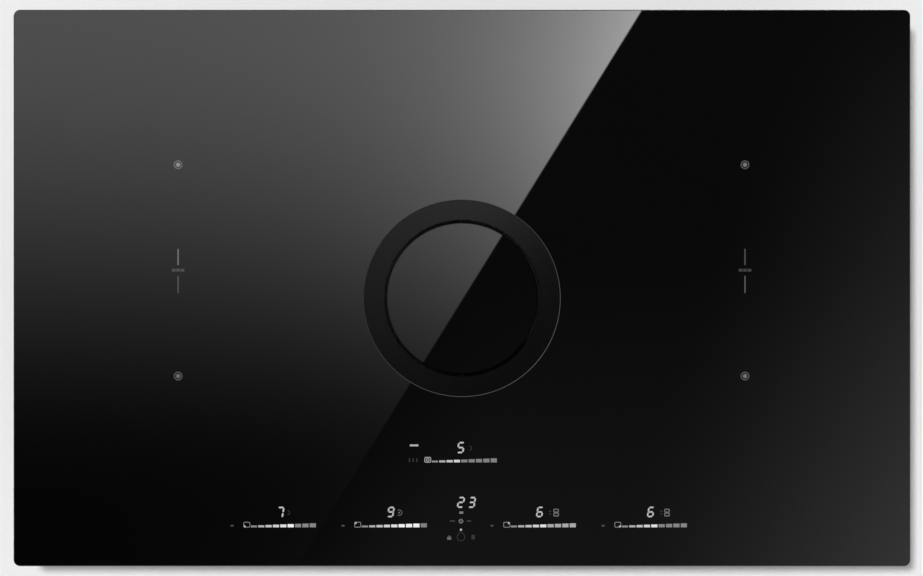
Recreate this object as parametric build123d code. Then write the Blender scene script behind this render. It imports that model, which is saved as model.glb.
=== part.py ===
from build123d import *
import math
import os

# Downdraft induction cooktop.  Millimetres, +Z up, +X to the right, +Y to the back.
# The origin is the centre of the worktop plane that the rim gasket rests on.

# ---------------------------------------------------------------- glass and its frame
glass_w = 830.0
glass_d = 515.0
glass_t = 4.0
glass_corner_r = 6.0
glass_bevel = 0.7
gasket_t = 2.0
gasket_inset = 1.0
gasket_band = 10.0
adhesive_t = 0.8
adhesive_band = 8.0
frame_sheet = 1.0
frame_leg_h = 14.0
frame_flange = 15.0
casing_inset_x = 17.0
casing_inset_y = 16.5
casing_h = 50.2
casing_sheet = 1.0
casing_corner_r = 8.0
casing_hole_gap = 1.0

# ---------------------------------------------------------------- round intake
intake_y = -9.5
flap_r = 70.0
flap_gap = 2.4
ring_overlap = 7.3
ring_flange_t = 2.1
ring_bevel_w = 0.8
ring_bevel_h = 0.55
ring_inner_chamfer = 0.5
ring_seal_t = 0.5
ring_seal_band = 4.0
ring_seal_inset = 1.2
collar_step = 6.6
collar_hole_gap = 5.0
collar_wall = 2.5
collar_depth = 20.0
collar_ribs = 6
collar_rib_t = 3.0
collar_rib_gap = 0.6
flap_glass_t = 4.0
flap_sink = 0.9
flap_edge_bevel = 0.8
carrier_inset = 6.0
carrier_floor = 2.0
carrier_rim_t = 2.5
carrier_h = 8.0
carrier_rib_t = 1.8
carrier_rib_rise = 1.0
pin_r = 2.5
pin_boss_r = 4.6
pin_boss_wall = 1.5
pin_seat_depth = 13.0
pin_socket_depth = 4.5
running_fit = 0.05
fit_gap = 0.3

# ---------------------------------------------------------------- well, filter and drip cup
well_wall = 2.0
well_hole_gap = 0.5
well_lip = 8.0
well_lip_t = 2.0
well_seal_t = 1.5
ledge_depth = 20.0
ledge_w = 5.0
well_tail = 8.0
filter_rim_gap = 1.0
filter_sheet = 1.0
filter_skirt_gap = 1.5
filter_skirt_h = 8.0
filter_depth = 62.0
filter_base_h = 6.0
filter_slot_w = 5.0
filter_slot_pairs = 14
filter_slot_rows = 3
filter_slot_pitch = 15.0
filter_slot_h = 11.0
filter_strap_w = 10.0
cup_depth = 8.0
cup_taper = 3.2
cup_sheet = 1.0
cup_inset = 8.0
handle_wire_r = 1.2
handle_w = 34.0
handle_h = 8.0
handle_drop = 6.0
handle_bend_r = 4.8

# ---------------------------------------------------------------- cooking zones
coil_w = 210.0
coil_side_gap = 29.5
coil_back_gap = 33.0
coil_front_gap = 21.5
coil_gap = 9.5
coil_corner_r = 58.0
coil_hole_w = 62.0
coil_hole_d = 48.0
coil_hole_r = 20.0
winding_t = 5.0
winding_groove = 1.0
winding_rings = 3
mica_t = 0.8
mica_margin = 3.0
coil_carrier_t = 4.0
coil_carrier_margin = 3.0
ferrite_t = 5.0
ferrite_w = 14.0
ferrite_l = 52.0
ferrite_count = 8
ferrite_spread = 58.0
foot_r = 5.0
foot_inset = 29.0
tray_sheet = 1.2
tray_margin = 9.0
tray_corner_r = 4.0
tray_hole_r = 12.5
tray_leg_w = 24.0
sensor_r = 5.0
sensor_wall = 4.0

# ---------------------------------------------------------------- electronics
board_t = 1.6
standoff_h = 5.0
standoff_r = 3.0
standoff_inset = 10.0
board_corner_r = 3.0
power_board_w = 150.0
power_board_d = 250.0
power_board_side_gap = 32.0
power_board_fan_gap = 25.0
sink_w = 60.0
sink_d = 150.0
sink_h = 22.0
sink_base_t = 4.0
sink_fin_t = 1.5
sink_fins = 9
sink_edge_gap = 8.0
capacitor_r = 9.0
capacitor_h = 20.0
capacitor_pitch = 26.0
capacitor_edge_gap = 8.0
capacitor_bevel = 1.2
capacitors_a_side = 3
cooling_fan_size = 80.0
cooling_fan_corner_r = 5.0
cooling_fan_side_gap = 12.0
cooling_fan_front_gap = 10.0
cooling_fan_h = 25.0
cooling_fan_bore_r = 38.0
cooling_fan_hub_r = 17.0
cooling_fan_tip_gap = 1.5
cooling_fan_blades = 7
cooling_fan_blade_t = 1.4
cooling_fan_pitch_angle = 38.0
cooling_fan_plate_t = 3.0
cooling_fan_strut_w = 4.0
cooling_fan_screw_inset = 4.5
cooling_fan_rotor_lift = 1.0
cooling_fan_rotor_drop = 2.0
cooling_fan_spindle_drop = 4.0
spindle_r = 1.5
control_w = 450.0
control_d = 40.0
control_front_gap = 4.0
control_tab_w = 105.0
control_tab_d = 58.0
control_tab_x = -7.5
control_gap = 4.0
holder_wall = 1.5
holder_gap = 0.5
holder_legs = 5
holder_leg_w = 8.0
touch_pad_w = 8.0
touch_pad_offset = 3.0
touch_tab_inset = 24.0
slider_keys = 5
slider_pitch = 14.0
slider_x = (-169.0, -66.0, 71.5, 174.0)
display_w = 16.0
display_d = 14.0
display_h = 3.6
display_edge_gap = 1.0
timer_display_d = 10.0
timer_display_inset = 4.0
mains_board_w = 150.0
mains_board_d = 80.0
mains_board_back_gap = 30.0
choke_x = 42.0
choke_round = 2.5
choke_r = 14.0
choke_hole_r = 6.0
choke_h = 16.0
terminal_w = 60.0
terminal_d = 22.0
terminal_h = 18.0
terminal_poles = 5
terminal_x = -40.0
terminal_edge_gap = 4.0
terminal_screw_r = 3.6
terminal_screw_depth = 8.0
terminal_wire_w = 7.2
terminal_wire_h = 6.0
terminal_wire_lift = 4.0
terminal_wire_depth = 6.0
terminal_cover_t = 1.5
terminal_cover_gap = 3.0
gland_x = -120.0
gland_z = -28.0
gland_bore_r = 6.5
gland_wall = 3.0
gland_flange = 4.0
gland_flange_t = 3.0
gland_length = 22.0
gland_collar = 1.5
gland_collar_t = 2.0

# ---------------------------------------------------------------- blower box
box_bottom_z = -200.0
box_wall = 2.5
box_lift = 2.0
box_split_h = 22.0
box_flange = 9.0
box_flange_t = 2.5
box_back_inset = 36.0
box_corner_r = 5.0
box_well_margin = 19.5
box_scroll_gap = 2.5
box_screw_count = 14
box_floor_bevel = 3.0
sump_gap = 11.5
sump_h = 10.0
deck_seal_band = 5.0
blower_gap = 15.5
fan_y = -35.0
scroll_cutoff = 9.0
scroll_step = 13.0
scroll_wall = 2.5
tongue_r = 5.0
duct_w = 222.0
duct_h = 89.0
duct_wall = 2.0
duct_corner_r = 4.0
duct_length = 32.0
duct_flange = 7.0
duct_flange_t = 2.5
duct_bead = 1.2
duct_bead_w = 3.0
duct_bead_inset = 8.0
impeller_r = 95.0
impeller_blade_depth = 15.0
impeller_blades = 36
impeller_blade_t = 1.5
impeller_blade_arc_r = 13.0
impeller_blade_rise = 9.36
impeller_blade_root = 8.0
impeller_plate_t = 2.0
impeller_ring_t = 3.0
impeller_top_gap = 6.5
impeller_bottom_gap = 4.5
impeller_cup_slope = 6.0
impeller_hub_r = 10.0
impeller_hub_h = 14.0
inlet_gap = 4.0
inlet_wall = 2.0
inlet_overlap = 4.0
inlet_flange = 14.0
motor_r = 48.0
motor_h = 28.0
motor_plate_t = 2.0
motor_plate_margin = 2.0
motor_bevel = 2.0
motor_cup_gap = 6.0
motor_headroom = 22.5
motor_arm_reach = 18.0
motor_arm_w = 20.0
motor_arms = 3
motor_boss_r = 12.0
motor_boss_h = 8.0
motor_hole_gap = 4.0
grommet_r = 6.0
grommet_waist_r = 4.0
grommet_lip_t = 1.0
shaft_r = 4.0
shaft_end = 2.0
shaft_bevel = 0.6
post_r = 6.0
post_depth = 20.0

# ---------------------------------------------------------------- fixings
screw_r = 1.6
screw_head_r = 3.2
screw_head_h = 2.0
screw_length = 10.0
screw_tip = 2.0
frame_screw_inset = 80.0
frame_screws_long = 4
bracket_w = 46.0
bracket_h = 22.0
bracket_t = 1.5
bracket_y = 150.0
bracket_z = -28.0
bracket_hole_r = 2.1
bracket_corner_r = 4.0
vent_slot_w = 3.0
vent_slot_h = 18.0
vent_slot_low = 11.0
vent_slot_pitch = 9.0
vent_slots = 12
grille_edge = 2.0

# ---------------------------------------------------------------- worked-out levels and places
casing_w = glass_w - 2 * casing_inset_x
casing_d = glass_d - 2 * casing_inset_y
casing_inner_x = casing_w / 2 - casing_sheet
casing_inner_y = casing_d / 2 - casing_sheet
glass_low = gasket_t
glass_top_z = glass_low + glass_t
frame_top = glass_low - adhesive_t
frame_low = frame_top - frame_sheet
casing_top = frame_low
casing_low = casing_top - casing_h
casing_floor = casing_low + casing_sheet

intake = (0.0, intake_y)
ring_inner_r = flap_r + flap_gap
collar_outer_r = ring_inner_r + collar_step
glass_hole_r = collar_outer_r + collar_hole_gap
ring_outer_r = glass_hole_r + ring_overlap
carrier_r = flap_r - carrier_inset
ring_low = glass_top_z + ring_seal_t
ring_top = ring_low + ring_flange_t
collar_low = ring_low - collar_depth
flap_top = ring_top - flap_sink
flap_low = flap_top - flap_glass_t
carrier_low = flap_low - carrier_h
flap_axis_z = flap_low - carrier_h / 2

well_inner_r = glass_hole_r + well_hole_gap
well_outer_r = well_inner_r + well_wall
well_top = glass_low - well_seal_t
ledge_z = well_top - ledge_depth
tail_inner_r = well_inner_r - ledge_w
tail_outer_r = tail_inner_r + well_wall
well_low = casing_low - box_lift - well_tail

filter_rim_r = glass_hole_r - filter_rim_gap
filter_skirt_r = tail_inner_r - filter_skirt_gap
filter_low = ledge_z - filter_depth
filter_mesh_r = filter_skirt_r - filter_sheet
cup_low = filter_low - cup_depth

control_y = -(casing_inner_y - control_front_gap - control_d / 2)
control_back_y = control_y + control_d / 2
control_tab_top_y = control_back_y + control_tab_d

coil_pair_d = casing_inner_y - coil_back_gap - control_back_y - coil_front_gap
coil_d = (coil_pair_d - coil_gap) / 2
coil_x = casing_inner_x - coil_side_gap - coil_w / 2
coil_rear_y = casing_inner_y - coil_back_gap - coil_d / 2
coil_front_y = coil_rear_y - coil_d - coil_gap
coil_middle_y = (coil_rear_y + coil_front_y) / 2
mica_low = glass_low - mica_t
winding_low = mica_low - winding_t
coil_carrier_low = winding_low - coil_carrier_t
tray_top = coil_carrier_low - ferrite_t
tray_low = tray_top - tray_sheet

board_low = casing_floor + standoff_h
board_top = board_low + board_t
cooling_fan_x = casing_inner_x - cooling_fan_side_gap - cooling_fan_size / 2
cooling_fan_y = -(casing_inner_y - cooling_fan_front_gap - cooling_fan_size / 2)
cooling_fan_top = casing_floor + cooling_fan_h
power_board_x = casing_inner_x - power_board_side_gap - power_board_w / 2
power_board_front = cooling_fan_y + cooling_fan_size / 2 + power_board_fan_gap
power_board_y = power_board_front + power_board_d / 2
mains_board_y = casing_inner_y - mains_board_back_gap - mains_board_d / 2
terminal_y = mains_board_y + mains_board_d / 2 - terminal_edge_gap - terminal_d / 2
control_top = glass_low - control_gap
control_low = control_top - board_t

box_top = casing_low - box_lift
box_split_z = box_bottom_z + box_split_h
box_back_y = casing_d / 2 - box_back_inset
box_well_lobe_r = well_inner_r + box_well_margin
sump_r = box_well_lobe_r - box_wall - sump_gap
scroll_start_r = impeller_r + scroll_cutoff
scroll_top = box_top - box_wall - motor_headroom
scroll_ceiling = scroll_top - scroll_wall
scroll_floor = scroll_ceiling + 2 * duct_wall - duct_h
scroll_low = scroll_floor - scroll_wall
duct_z = (scroll_ceiling + scroll_floor) / 2
fan_x = filter_skirt_r + blower_gap + scroll_wall + scroll_start_r
fan = (fan_x, fan_y)
scroll_end_r = scroll_start_r + 2 * scroll_step
scroll_end_centre = (fan_x + scroll_step, fan_y + scroll_step)
outlet_right = scroll_end_centre[0] + scroll_end_r
outlet_left = outlet_right - duct_w + 2 * duct_wall
outlet_x = (outlet_left + outlet_right) / 2
box_lobe_r = scroll_end_r + scroll_wall + box_scroll_gap + box_wall
impeller_top = scroll_ceiling - impeller_top_gap
impeller_low = scroll_floor + impeller_bottom_gap
impeller_inner_r = impeller_r - impeller_blade_depth
motor_plate_low = scroll_top + grommet_lip_t
motor_plate_top = motor_plate_low + motor_plate_t
motor_low = motor_plate_low - motor_h
motor_arm_r = motor_r + motor_arm_reach
impeller_cup_r = motor_r + motor_cup_gap + impeller_plate_t
impeller_cup_low = motor_low - motor_cup_gap
impeller_hub_low = impeller_cup_low - impeller_hub_h
coil_places = {
    "left_rear": (-coil_x, coil_rear_y),
    "left_front": (-coil_x, coil_front_y),
    "right_rear": (coil_x, coil_rear_y),
    "right_front": (coil_x, coil_front_y),
}
sides = {"left": -1, "right": 1}
stands = (Align.CENTER, Align.CENTER, Align.MIN)


# ---------------------------------------------------------------- shapes used all over
def disc(radius, low, high, centre=(0.0, 0.0)):
    return Pos(centre[0], centre[1], low) * Cylinder(radius, high - low, align=stands)


def tube(inner_r, outer_r, low, high, centre=(0.0, 0.0)):
    return disc(outer_r, low, high, centre) - disc(inner_r, low, high, centre)


def plate(width, depth, corner_r, low, high, centre=(0.0, 0.0)):
    outline = Pos(centre[0], centre[1], low) * RectangleRounded(width, depth, corner_r)
    return extrude(outline, amount=high - low)


def band(width, depth, corner_r, thickness, low, high, centre=(0.0, 0.0)):
    """Rounded frame whose outside is width by depth and whose rails are thickness wide."""
    inner_r = max(corner_r - thickness, 0.5)
    outer = plate(width, depth, corner_r, low, high, centre)
    return outer - plate(width - 2 * thickness, depth - 2 * thickness, inner_r, low, high, centre)


def block(width, depth, low, high, centre=(0.0, 0.0)):
    return Pos(centre[0], centre[1], low) * Box(width, depth, high - low, align=stands)


def spun(points, centre=(0.0, 0.0)):
    """Solid of revolution about a vertical axis through centre, from (radius, z) corners."""
    outline = make_face(Plane.XZ * Polyline(*points, close=True))
    return Pos(centre[0], centre[1], 0) * revolve(outline, Axis.Z)


def screw(length):
    """Hexagon-head screw through the origin, with its head above the plane and its shank below."""
    head = extrude(RegularPolygon(screw_head_r, 6), amount=screw_head_h)
    return head + disc(screw_r - running_fit, -length, 0)


def write(name, shape):
    export_step(shape, os.path.join("parts", name + ".step"))


# ---------------------------------------------------------------- glass, frame and casing
def glass_top():
    pane = plate(glass_w, glass_d, glass_corner_r, glass_low, glass_top_z)
    pane -= disc(glass_hole_r, glass_low, glass_top_z, intake)
    upper = pane.faces().sort_by(Axis.Z)[-1]
    return chamfer(upper.outer_wire().edges(), glass_bevel)


def rim_gasket():
    """Sealing tape between the glass's rim and the worktop."""
    width = glass_w - 2 * gasket_inset
    depth = glass_d - 2 * gasket_inset
    return band(width, depth, glass_corner_r, gasket_band, 0, gasket_t)


def glass_adhesive():
    width = casing_w + 2 * frame_sheet - 2 * fit_gap
    depth = casing_d + 2 * frame_sheet - 2 * fit_gap
    return band(width, depth, casing_corner_r, adhesive_band, frame_top, glass_low)


def glass_frame():
    width = casing_w + 2 * frame_sheet
    depth = casing_d + 2 * frame_sheet
    corner_r = casing_corner_r + frame_sheet
    flange = band(width, depth, corner_r, frame_flange, frame_low, frame_top)
    leg = band(width, depth, corner_r, frame_sheet, frame_low - frame_leg_h, frame_low)
    frame = flange + leg
    for place in frame_screw_places():
        frame -= place * Cylinder(screw_r, 4 * frame_sheet)
    return frame


def frame_screw_places():
    """Places of the screws that hold the casing wall to the frame's leg, pointing outwards."""
    height = frame_low - frame_leg_h / 2
    reach_x = casing_w / 2 - frame_screw_inset
    reach_y = casing_d / 2 - frame_screw_inset
    places = []
    for facing in (-1, 1):
        for index in range(frame_screws_long):
            x = (2 * index / (frame_screws_long - 1) - 1) * reach_x
            places.append(Pos(x, facing * casing_d / 2, height) * Rot(-90 * facing, 0, 0))
        for y in (-reach_y, reach_y):
            places.append(Pos(facing * casing_w / 2, y, height) * Rot(0, 90 * facing, 0))
    return places


def frame_screws():
    """Each screw's shank crosses the casing wall and the leg; its head lies on the leg."""
    fixing = screw(casing_sheet + frame_sheet + screw_tip)
    on_leg = Pos(0, 0, frame_sheet)
    return Compound(children=[place * on_leg * fixing for place in frame_screw_places()])


def vent_slots_at(x, y):
    slots = []
    low = casing_low + vent_slot_low
    for index in range(vent_slots):
        offset = (index - (vent_slots - 1) / 2) * vent_slot_pitch
        slots.append(block(vent_slot_w, 4 * casing_sheet, low, low + vent_slot_h, (x + offset, y)))
    return slots


def floor_grille(x, y):
    """Slots across the round mouth of a cooling fan."""
    slots = []
    count = int(2 * cooling_fan_bore_r / vent_slot_pitch)
    for index in range(count):
        offset = (index - (count - 1) / 2) * vent_slot_pitch
        chord = 2 * math.sqrt(cooling_fan_bore_r ** 2 - offset ** 2)
        length = chord - 2 * grille_edge
        slots.append(block(vent_slot_w, length, casing_low, casing_floor, (x + offset, y)))
    return slots


def hob_casing():
    pan = plate(casing_w, casing_d, casing_corner_r, casing_low, casing_top)
    inside_w = casing_w - 2 * casing_sheet
    inside_d = casing_d - 2 * casing_sheet
    inside_r = casing_corner_r - casing_sheet
    pan -= plate(inside_w, inside_d, inside_r, casing_floor, casing_top)
    pan -= disc(tail_outer_r + casing_hole_gap, casing_low, casing_floor, intake)
    cuts = []
    for side in sides.values():
        cuts += vent_slots_at(side * power_board_x, casing_d / 2)
        cuts += floor_grille(side * cooling_fan_x, cooling_fan_y)
        for y in (-bracket_y, bracket_y):
            spot = Pos(side * casing_w / 2, y, bracket_z)
            cuts.append(spot * Rot(0, 90, 0) * Cylinder(2 * bracket_hole_r, 4 * casing_sheet))
    for place in frame_screw_places():
        cuts.append(place * Cylinder(screw_r, 4 * casing_sheet))
    gland_hole = Cylinder(gland_bore_r + gland_wall, 4 * casing_sheet)
    cuts.append(Pos(gland_x, casing_d / 2, gland_z) * Rot(90, 0, 0) * gland_hole)
    for x, y in box_hanger_places():
        cuts.append(disc(screw_r, casing_low, casing_floor, (x, y)))
    pan -= cuts
    posts = [disc(standoff_r, casing_floor, board_low, spot) for spot in standoff_places()]
    return pan + posts


def board_corners(width, depth, centre):
    """The four places inside a board's corners where it stands on posts."""
    reach_x = width / 2 - standoff_inset
    reach_y = depth / 2 - standoff_inset
    return [(centre[0] + x * reach_x, centre[1] + y * reach_y) for x in (-1, 1) for y in (-1, 1)]


def standoff_places():
    places = board_corners(mains_board_w, mains_board_d, (0, mains_board_y))
    for side in sides.values():
        centre = (side * power_board_x, power_board_y)
        places += board_corners(power_board_w, power_board_d, centre)
    return places


def fixing_brackets():
    """Angle plates on the casing's sides, each with the hole for a worktop screw."""
    brackets = []
    for side in sides.values():
        for y in (-bracket_y, bracket_y):
            outline = RectangleRounded(bracket_h, bracket_w, bracket_corner_r)
            outline -= Circle(bracket_hole_r)
            face = Pos(side * casing_w / 2, y, bracket_z) * Rot(0, 90 * side, 0) * outline
            brackets.append(extrude(face, amount=bracket_t))
    return Compound(children=brackets)


# ---------------------------------------------------------------- ring and flap
def ring_trim():
    """Flat ring round the intake, with the collar that carries the flap's pins."""
    collar_inner_r = collar_outer_r - collar_wall
    points = [
        (ring_inner_r, ring_low),
        (ring_inner_r, ring_top - ring_inner_chamfer),
        (ring_inner_r + ring_inner_chamfer, ring_top),
        (ring_outer_r - ring_bevel_w, ring_top),
        (ring_outer_r, ring_top - ring_bevel_h),
        (ring_outer_r, ring_low),
        (collar_outer_r, ring_low),
        (collar_outer_r, collar_low),
        (collar_inner_r, collar_low),
        (collar_inner_r, ring_low),
    ]
    ring = spun(points, intake)
    rib_reach = glass_hole_r - collar_rib_gap - collar_outer_r
    for index in range(collar_ribs):
        turn = Rot(0, 0, 360 * (index + 0.5) / collar_ribs)
        rib = Box(rib_reach + collar_wall / 2, collar_rib_t, ring_low - collar_low, align=stands)
        reach = collar_outer_r + (rib_reach - collar_wall / 2) / 2
        ring += Pos(*intake, collar_low) * turn * Pos(reach, 0, 0) * rib
    for facing in (-1, 1):
        length = collar_outer_r - ring_inner_r
        middle = ring_inner_r + length / 2 - running_fit
        spot = Pos(intake[0], intake_y + facing * middle, flap_axis_z) * Rot(90, 0, 0)
        ring += spot * Cylinder(pin_boss_r, length)
    for facing in (-1, 1):
        depth = pin_socket_depth + fit_gap
        middle = ring_inner_r + depth / 2 - running_fit
        spot = Pos(intake[0], intake_y + facing * middle, flap_axis_z) * Rot(90, 0, 0)
        ring -= spot * Cylinder(pin_r + running_fit, depth + 2 * running_fit)
    return ring


def ring_seal():
    outer_r = ring_outer_r - ring_seal_inset
    return tube(outer_r - ring_seal_band, outer_r, glass_top_z, ring_low, intake)


def flap_glass():
    pane = disc(flap_r, flap_low, flap_top, intake)
    upper = pane.faces().sort_by(Axis.Z)[-1]
    return chamfer(upper.edges(), flap_edge_bevel)


def flap_carrier():
    """Moulded dish bonded under the flap's glass, with ribs and two bosses for the pins."""
    body = disc(carrier_r, carrier_low, flap_low, intake)
    inner_r = carrier_r - carrier_rim_t
    body -= disc(inner_r, carrier_low, flap_low - carrier_floor, intake)
    rib_low = carrier_low + carrier_rib_rise
    web_w = 2 * inner_r + carrier_rim_t
    for offset in (-0.5, 0, 0.5):
        chord = web_w * math.sqrt(1 - offset ** 2)
        spot = (intake[0], intake_y + offset * inner_r)
        body += block(chord, carrier_rib_t, rib_low, flap_low, spot)
    seat_middle = carrier_r - pin_seat_depth / 2
    for facing in (-1, 1):
        spot = Pos(intake[0], intake_y + facing * seat_middle, flap_axis_z) * Rot(90, 0, 0)
        body += spot * Cylinder(pin_r + pin_boss_wall, pin_seat_depth)
    for facing in (-1, 1):
        spot = Pos(intake[0], intake_y + facing * seat_middle, flap_axis_z) * Rot(90, 0, 0)
        body -= spot * Cylinder(pin_r, pin_seat_depth)
    return body


def flap_pins():
    """Two pins pressed into the carrier that turn in the ring's sockets."""
    pins = []
    inner_end = carrier_r - pin_seat_depth
    outer_end = ring_inner_r + pin_socket_depth
    length = outer_end - inner_end
    for facing in (-1, 1):
        middle = intake_y + facing * (inner_end + length / 2)
        pins.append(Pos(intake[0], middle, flap_axis_z) * Rot(90, 0, 0) * Cylinder(pin_r, length))
    return Compound(children=pins)


# ---------------------------------------------------------------- well and filter
def intake_well():
    """Stepped tube from the glass to the blower box, whose ledge carries the filter."""
    points = [
        (well_inner_r, well_top),
        (well_inner_r + well_lip, well_top),
        (well_inner_r + well_lip, well_top - well_lip_t),
        (well_outer_r, well_top - well_lip_t),
        (well_outer_r, ledge_z - well_wall),
        (tail_outer_r, ledge_z - well_wall),
        (tail_outer_r, well_low),
        (tail_inner_r, well_low),
        (tail_inner_r, ledge_z),
        (well_inner_r, ledge_z),
    ]
    return spun(points, intake)


def well_seal():
    inner_r = well_inner_r + 1.0
    return tube(inner_r, well_inner_r + well_lip - 1.0, well_top, glass_low, intake)


def filter_frame():
    """Turned-over rim and skirt, and the base ring, joined by four upright straps."""
    skirt_low = ledge_z - filter_skirt_h
    base_top = filter_low + filter_base_h
    rim = [
        (filter_skirt_r - filter_sheet, skirt_low),
        (filter_skirt_r, skirt_low),
        (filter_skirt_r, ledge_z),
        (filter_rim_r, ledge_z),
        (filter_rim_r, ledge_z + filter_sheet),
        (filter_skirt_r - filter_sheet, ledge_z + filter_sheet),
    ]
    base = [
        (filter_skirt_r - cup_inset, filter_low),
        (filter_skirt_r, filter_low),
        (filter_skirt_r, base_top),
        (filter_skirt_r - filter_sheet, base_top),
        (filter_skirt_r - filter_sheet, filter_low + filter_sheet),
        (filter_skirt_r - cup_inset, filter_low + filter_sheet),
    ]
    frame = spun(rim, intake) + spun(base, intake)
    strap_h = skirt_low - base_top + 2 * filter_sheet
    for index in range(4):
        turn = Rot(0, 0, 45 + 90 * index)
        strap = Pos(filter_skirt_r - filter_sheet / 2, 0, base_top - filter_sheet)
        strap = strap * Box(filter_sheet - 2 * running_fit, filter_strap_w, strap_h, align=stands)
        frame += Pos(*intake, 0) * turn * strap
    return frame


def filter_mesh():
    """Slotted strainer sleeve inside the frame."""
    low = filter_low + filter_sheet
    high = ledge_z - filter_sheet
    outer_r = filter_mesh_r - running_fit
    sleeve = tube(outer_r - filter_sheet, outer_r, low, high, intake)
    cutters = []
    middle = (low + high) / 2
    for row in range(filter_slot_rows):
        z = middle + (row - (filter_slot_rows - 1) / 2) * filter_slot_pitch
        for index in range(filter_slot_pairs):
            turn = Rot(0, 0, 180 * (index + 0.5) / filter_slot_pairs)
            cutter = Box(2 * outer_r + filter_slot_w, filter_slot_w, filter_slot_h)
            cutters.append(Pos(*intake, z) * turn * cutter)
    return sleeve - cutters


def drip_cup():
    """Shallow bowl that closes the filter's base and catches what runs down."""
    outer_r = filter_skirt_r - cup_inset
    lip_r = outer_r + cup_inset / 2
    points = [
        (0, cup_low),
        (outer_r - cup_taper, cup_low),
        (outer_r - fit_gap, filter_low - cup_sheet),
        (lip_r, filter_low - cup_sheet),
        (lip_r, filter_low),
        (outer_r - cup_sheet, filter_low),
        (outer_r - cup_sheet - cup_taper, cup_low + cup_sheet),
        (0, cup_low + cup_sheet),
    ]
    return spun(points, intake)


def filter_handles():
    """Two wire loops inside the rim, left and right, to lift the filter by."""
    loops = []
    reach = filter_mesh_r - filter_sheet - handle_wire_r - 2 * running_fit
    low = ledge_z - filter_sheet - handle_drop
    high = ledge_z + handle_h - handle_wire_r
    for facing in (-1, 1):
        x = facing * math.sqrt(reach ** 2 - (handle_w / 2) ** 2)
        points = [
            (x, intake_y - handle_w / 2, low),
            (x, intake_y - handle_w / 2, high),
            (x, intake_y + handle_w / 2, high),
            (x, intake_y + handle_w / 2, low),
        ]
        path = FilletPolyline(*points, radius=handle_bend_r)
        loops.append(sweep(Plane(path @ 0, z_dir=path % 0) * Circle(handle_wire_r), path=path))
    return Compound(children=loops)


# ---------------------------------------------------------------- cooking zones
def coil_winding(centre):
    """Flat wound pad with grooves between its bundles and a hole for the sensor."""
    pad = plate(coil_w, coil_d, coil_corner_r, winding_low, mica_low, centre)
    pad -= plate(coil_hole_w, coil_hole_d, coil_hole_r, winding_low, mica_low, centre)
    for ring in range(1, winding_rings + 1):
        share = ring / (winding_rings + 1)
        width = coil_hole_w + share * (coil_w - coil_hole_w)
        depth = coil_hole_d + share * (coil_d - coil_hole_d)
        corner_r = coil_hole_r + share * (coil_corner_r - coil_hole_r)
        low = mica_low - winding_groove
        pad -= band(width, depth, corner_r, winding_groove, low, mica_low, centre)
    return pad


def coil_carrier(centre):
    width = coil_w + 2 * coil_carrier_margin
    depth = coil_d + 2 * coil_carrier_margin
    corner_r = coil_corner_r + coil_carrier_margin
    carrier = plate(width, depth, corner_r, coil_carrier_low, winding_low, centre)
    carrier -= disc(sensor_r + running_fit, coil_carrier_low, winding_low, centre)
    hub_r = sensor_r + sensor_wall
    carrier += tube(sensor_r + running_fit, hub_r, tray_top, coil_carrier_low, centre)
    for x in (-1, 1):
        for y in (-1, 1):
            foot_x = centre[0] + x * (coil_w / 2 - foot_inset)
            foot_y = centre[1] + y * (coil_d / 2 - foot_inset)
            carrier += disc(foot_r, tray_top, coil_carrier_low, (foot_x, foot_y))
    return carrier


def ferrite_bars():
    """Radial bars under each carrier, in the gap that its feet leave above the tray."""
    bars = []
    for x, y in coil_places.values():
        for index in range(ferrite_count):
            turn = Rot(0, 0, 360 * (index + 0.5) / ferrite_count)
            bar = Box(ferrite_l, ferrite_w, ferrite_t, align=stands)
            bars.append(Pos(x, y, tray_top) * turn * Pos(ferrite_spread, 0, 0) * bar)
    return Compound(children=bars)


def mica_sheets():
    """One insulating sheet under the glass on each side, over both zones."""
    depth = coil_pair_d + 2 * mica_margin
    width = coil_w + 2 * mica_margin
    sheets = []
    for side in sides.values():
        centre = (side * coil_x, coil_middle_y)
        sheets.append(plate(width, depth, coil_corner_r / 2, mica_low, glass_low, centre))
    return Compound(children=sheets)


def coil_tray(side):
    """Aluminium tray under two zones, standing on folded legs."""
    width = coil_w + 2 * tray_margin
    depth = coil_pair_d + 2 * tray_margin
    centre = (side * coil_x, coil_middle_y)
    tray = plate(width, depth, tray_corner_r, tray_low, tray_top, centre)
    for y in (coil_rear_y, coil_front_y):
        tray -= disc(tray_hole_r, tray_low, tray_top, (side * coil_x, y))
        for facing in (-1, 1):
            leg_x = side * coil_x + facing * (width - tray_sheet) / 2
            tray += block(tray_sheet, tray_leg_w, casing_floor, tray_top, (leg_x, y))
    return tray


def coil_sensors():
    """Temperature probes in the middle of each zone, held by the carriers."""
    probes = [disc(sensor_r, coil_carrier_low, mica_low, spot) for spot in coil_places.values()]
    return Compound(children=probes)


# ---------------------------------------------------------------- electronics
def power_boards():
    boards = []
    for side in sides.values():
        centre = (side * power_board_x, power_board_y)
        board = plate(power_board_w, power_board_d, board_corner_r, board_low, board_top, centre)
        boards.append(board)
    return Compound(children=boards)


def heat_sink(centre):
    """Extruded sink whose fins run along the air from the cooling fan."""
    sink = block(sink_w, sink_d, board_top, board_top + sink_base_t, centre)
    for index in range(sink_fins):
        offset = (index / (sink_fins - 1) - 0.5) * (sink_w - sink_fin_t)
        spot = (centre[0] + offset, centre[1])
        sink += block(sink_fin_t, sink_d, board_top, board_top + sink_h, spot)
    return sink


def heat_sinks():
    sink_y = power_board_y + (power_board_d - sink_d) / 2 - sink_edge_gap
    return Compound(children=[heat_sink((side * power_board_x, sink_y)) for side in sides.values()])


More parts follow.
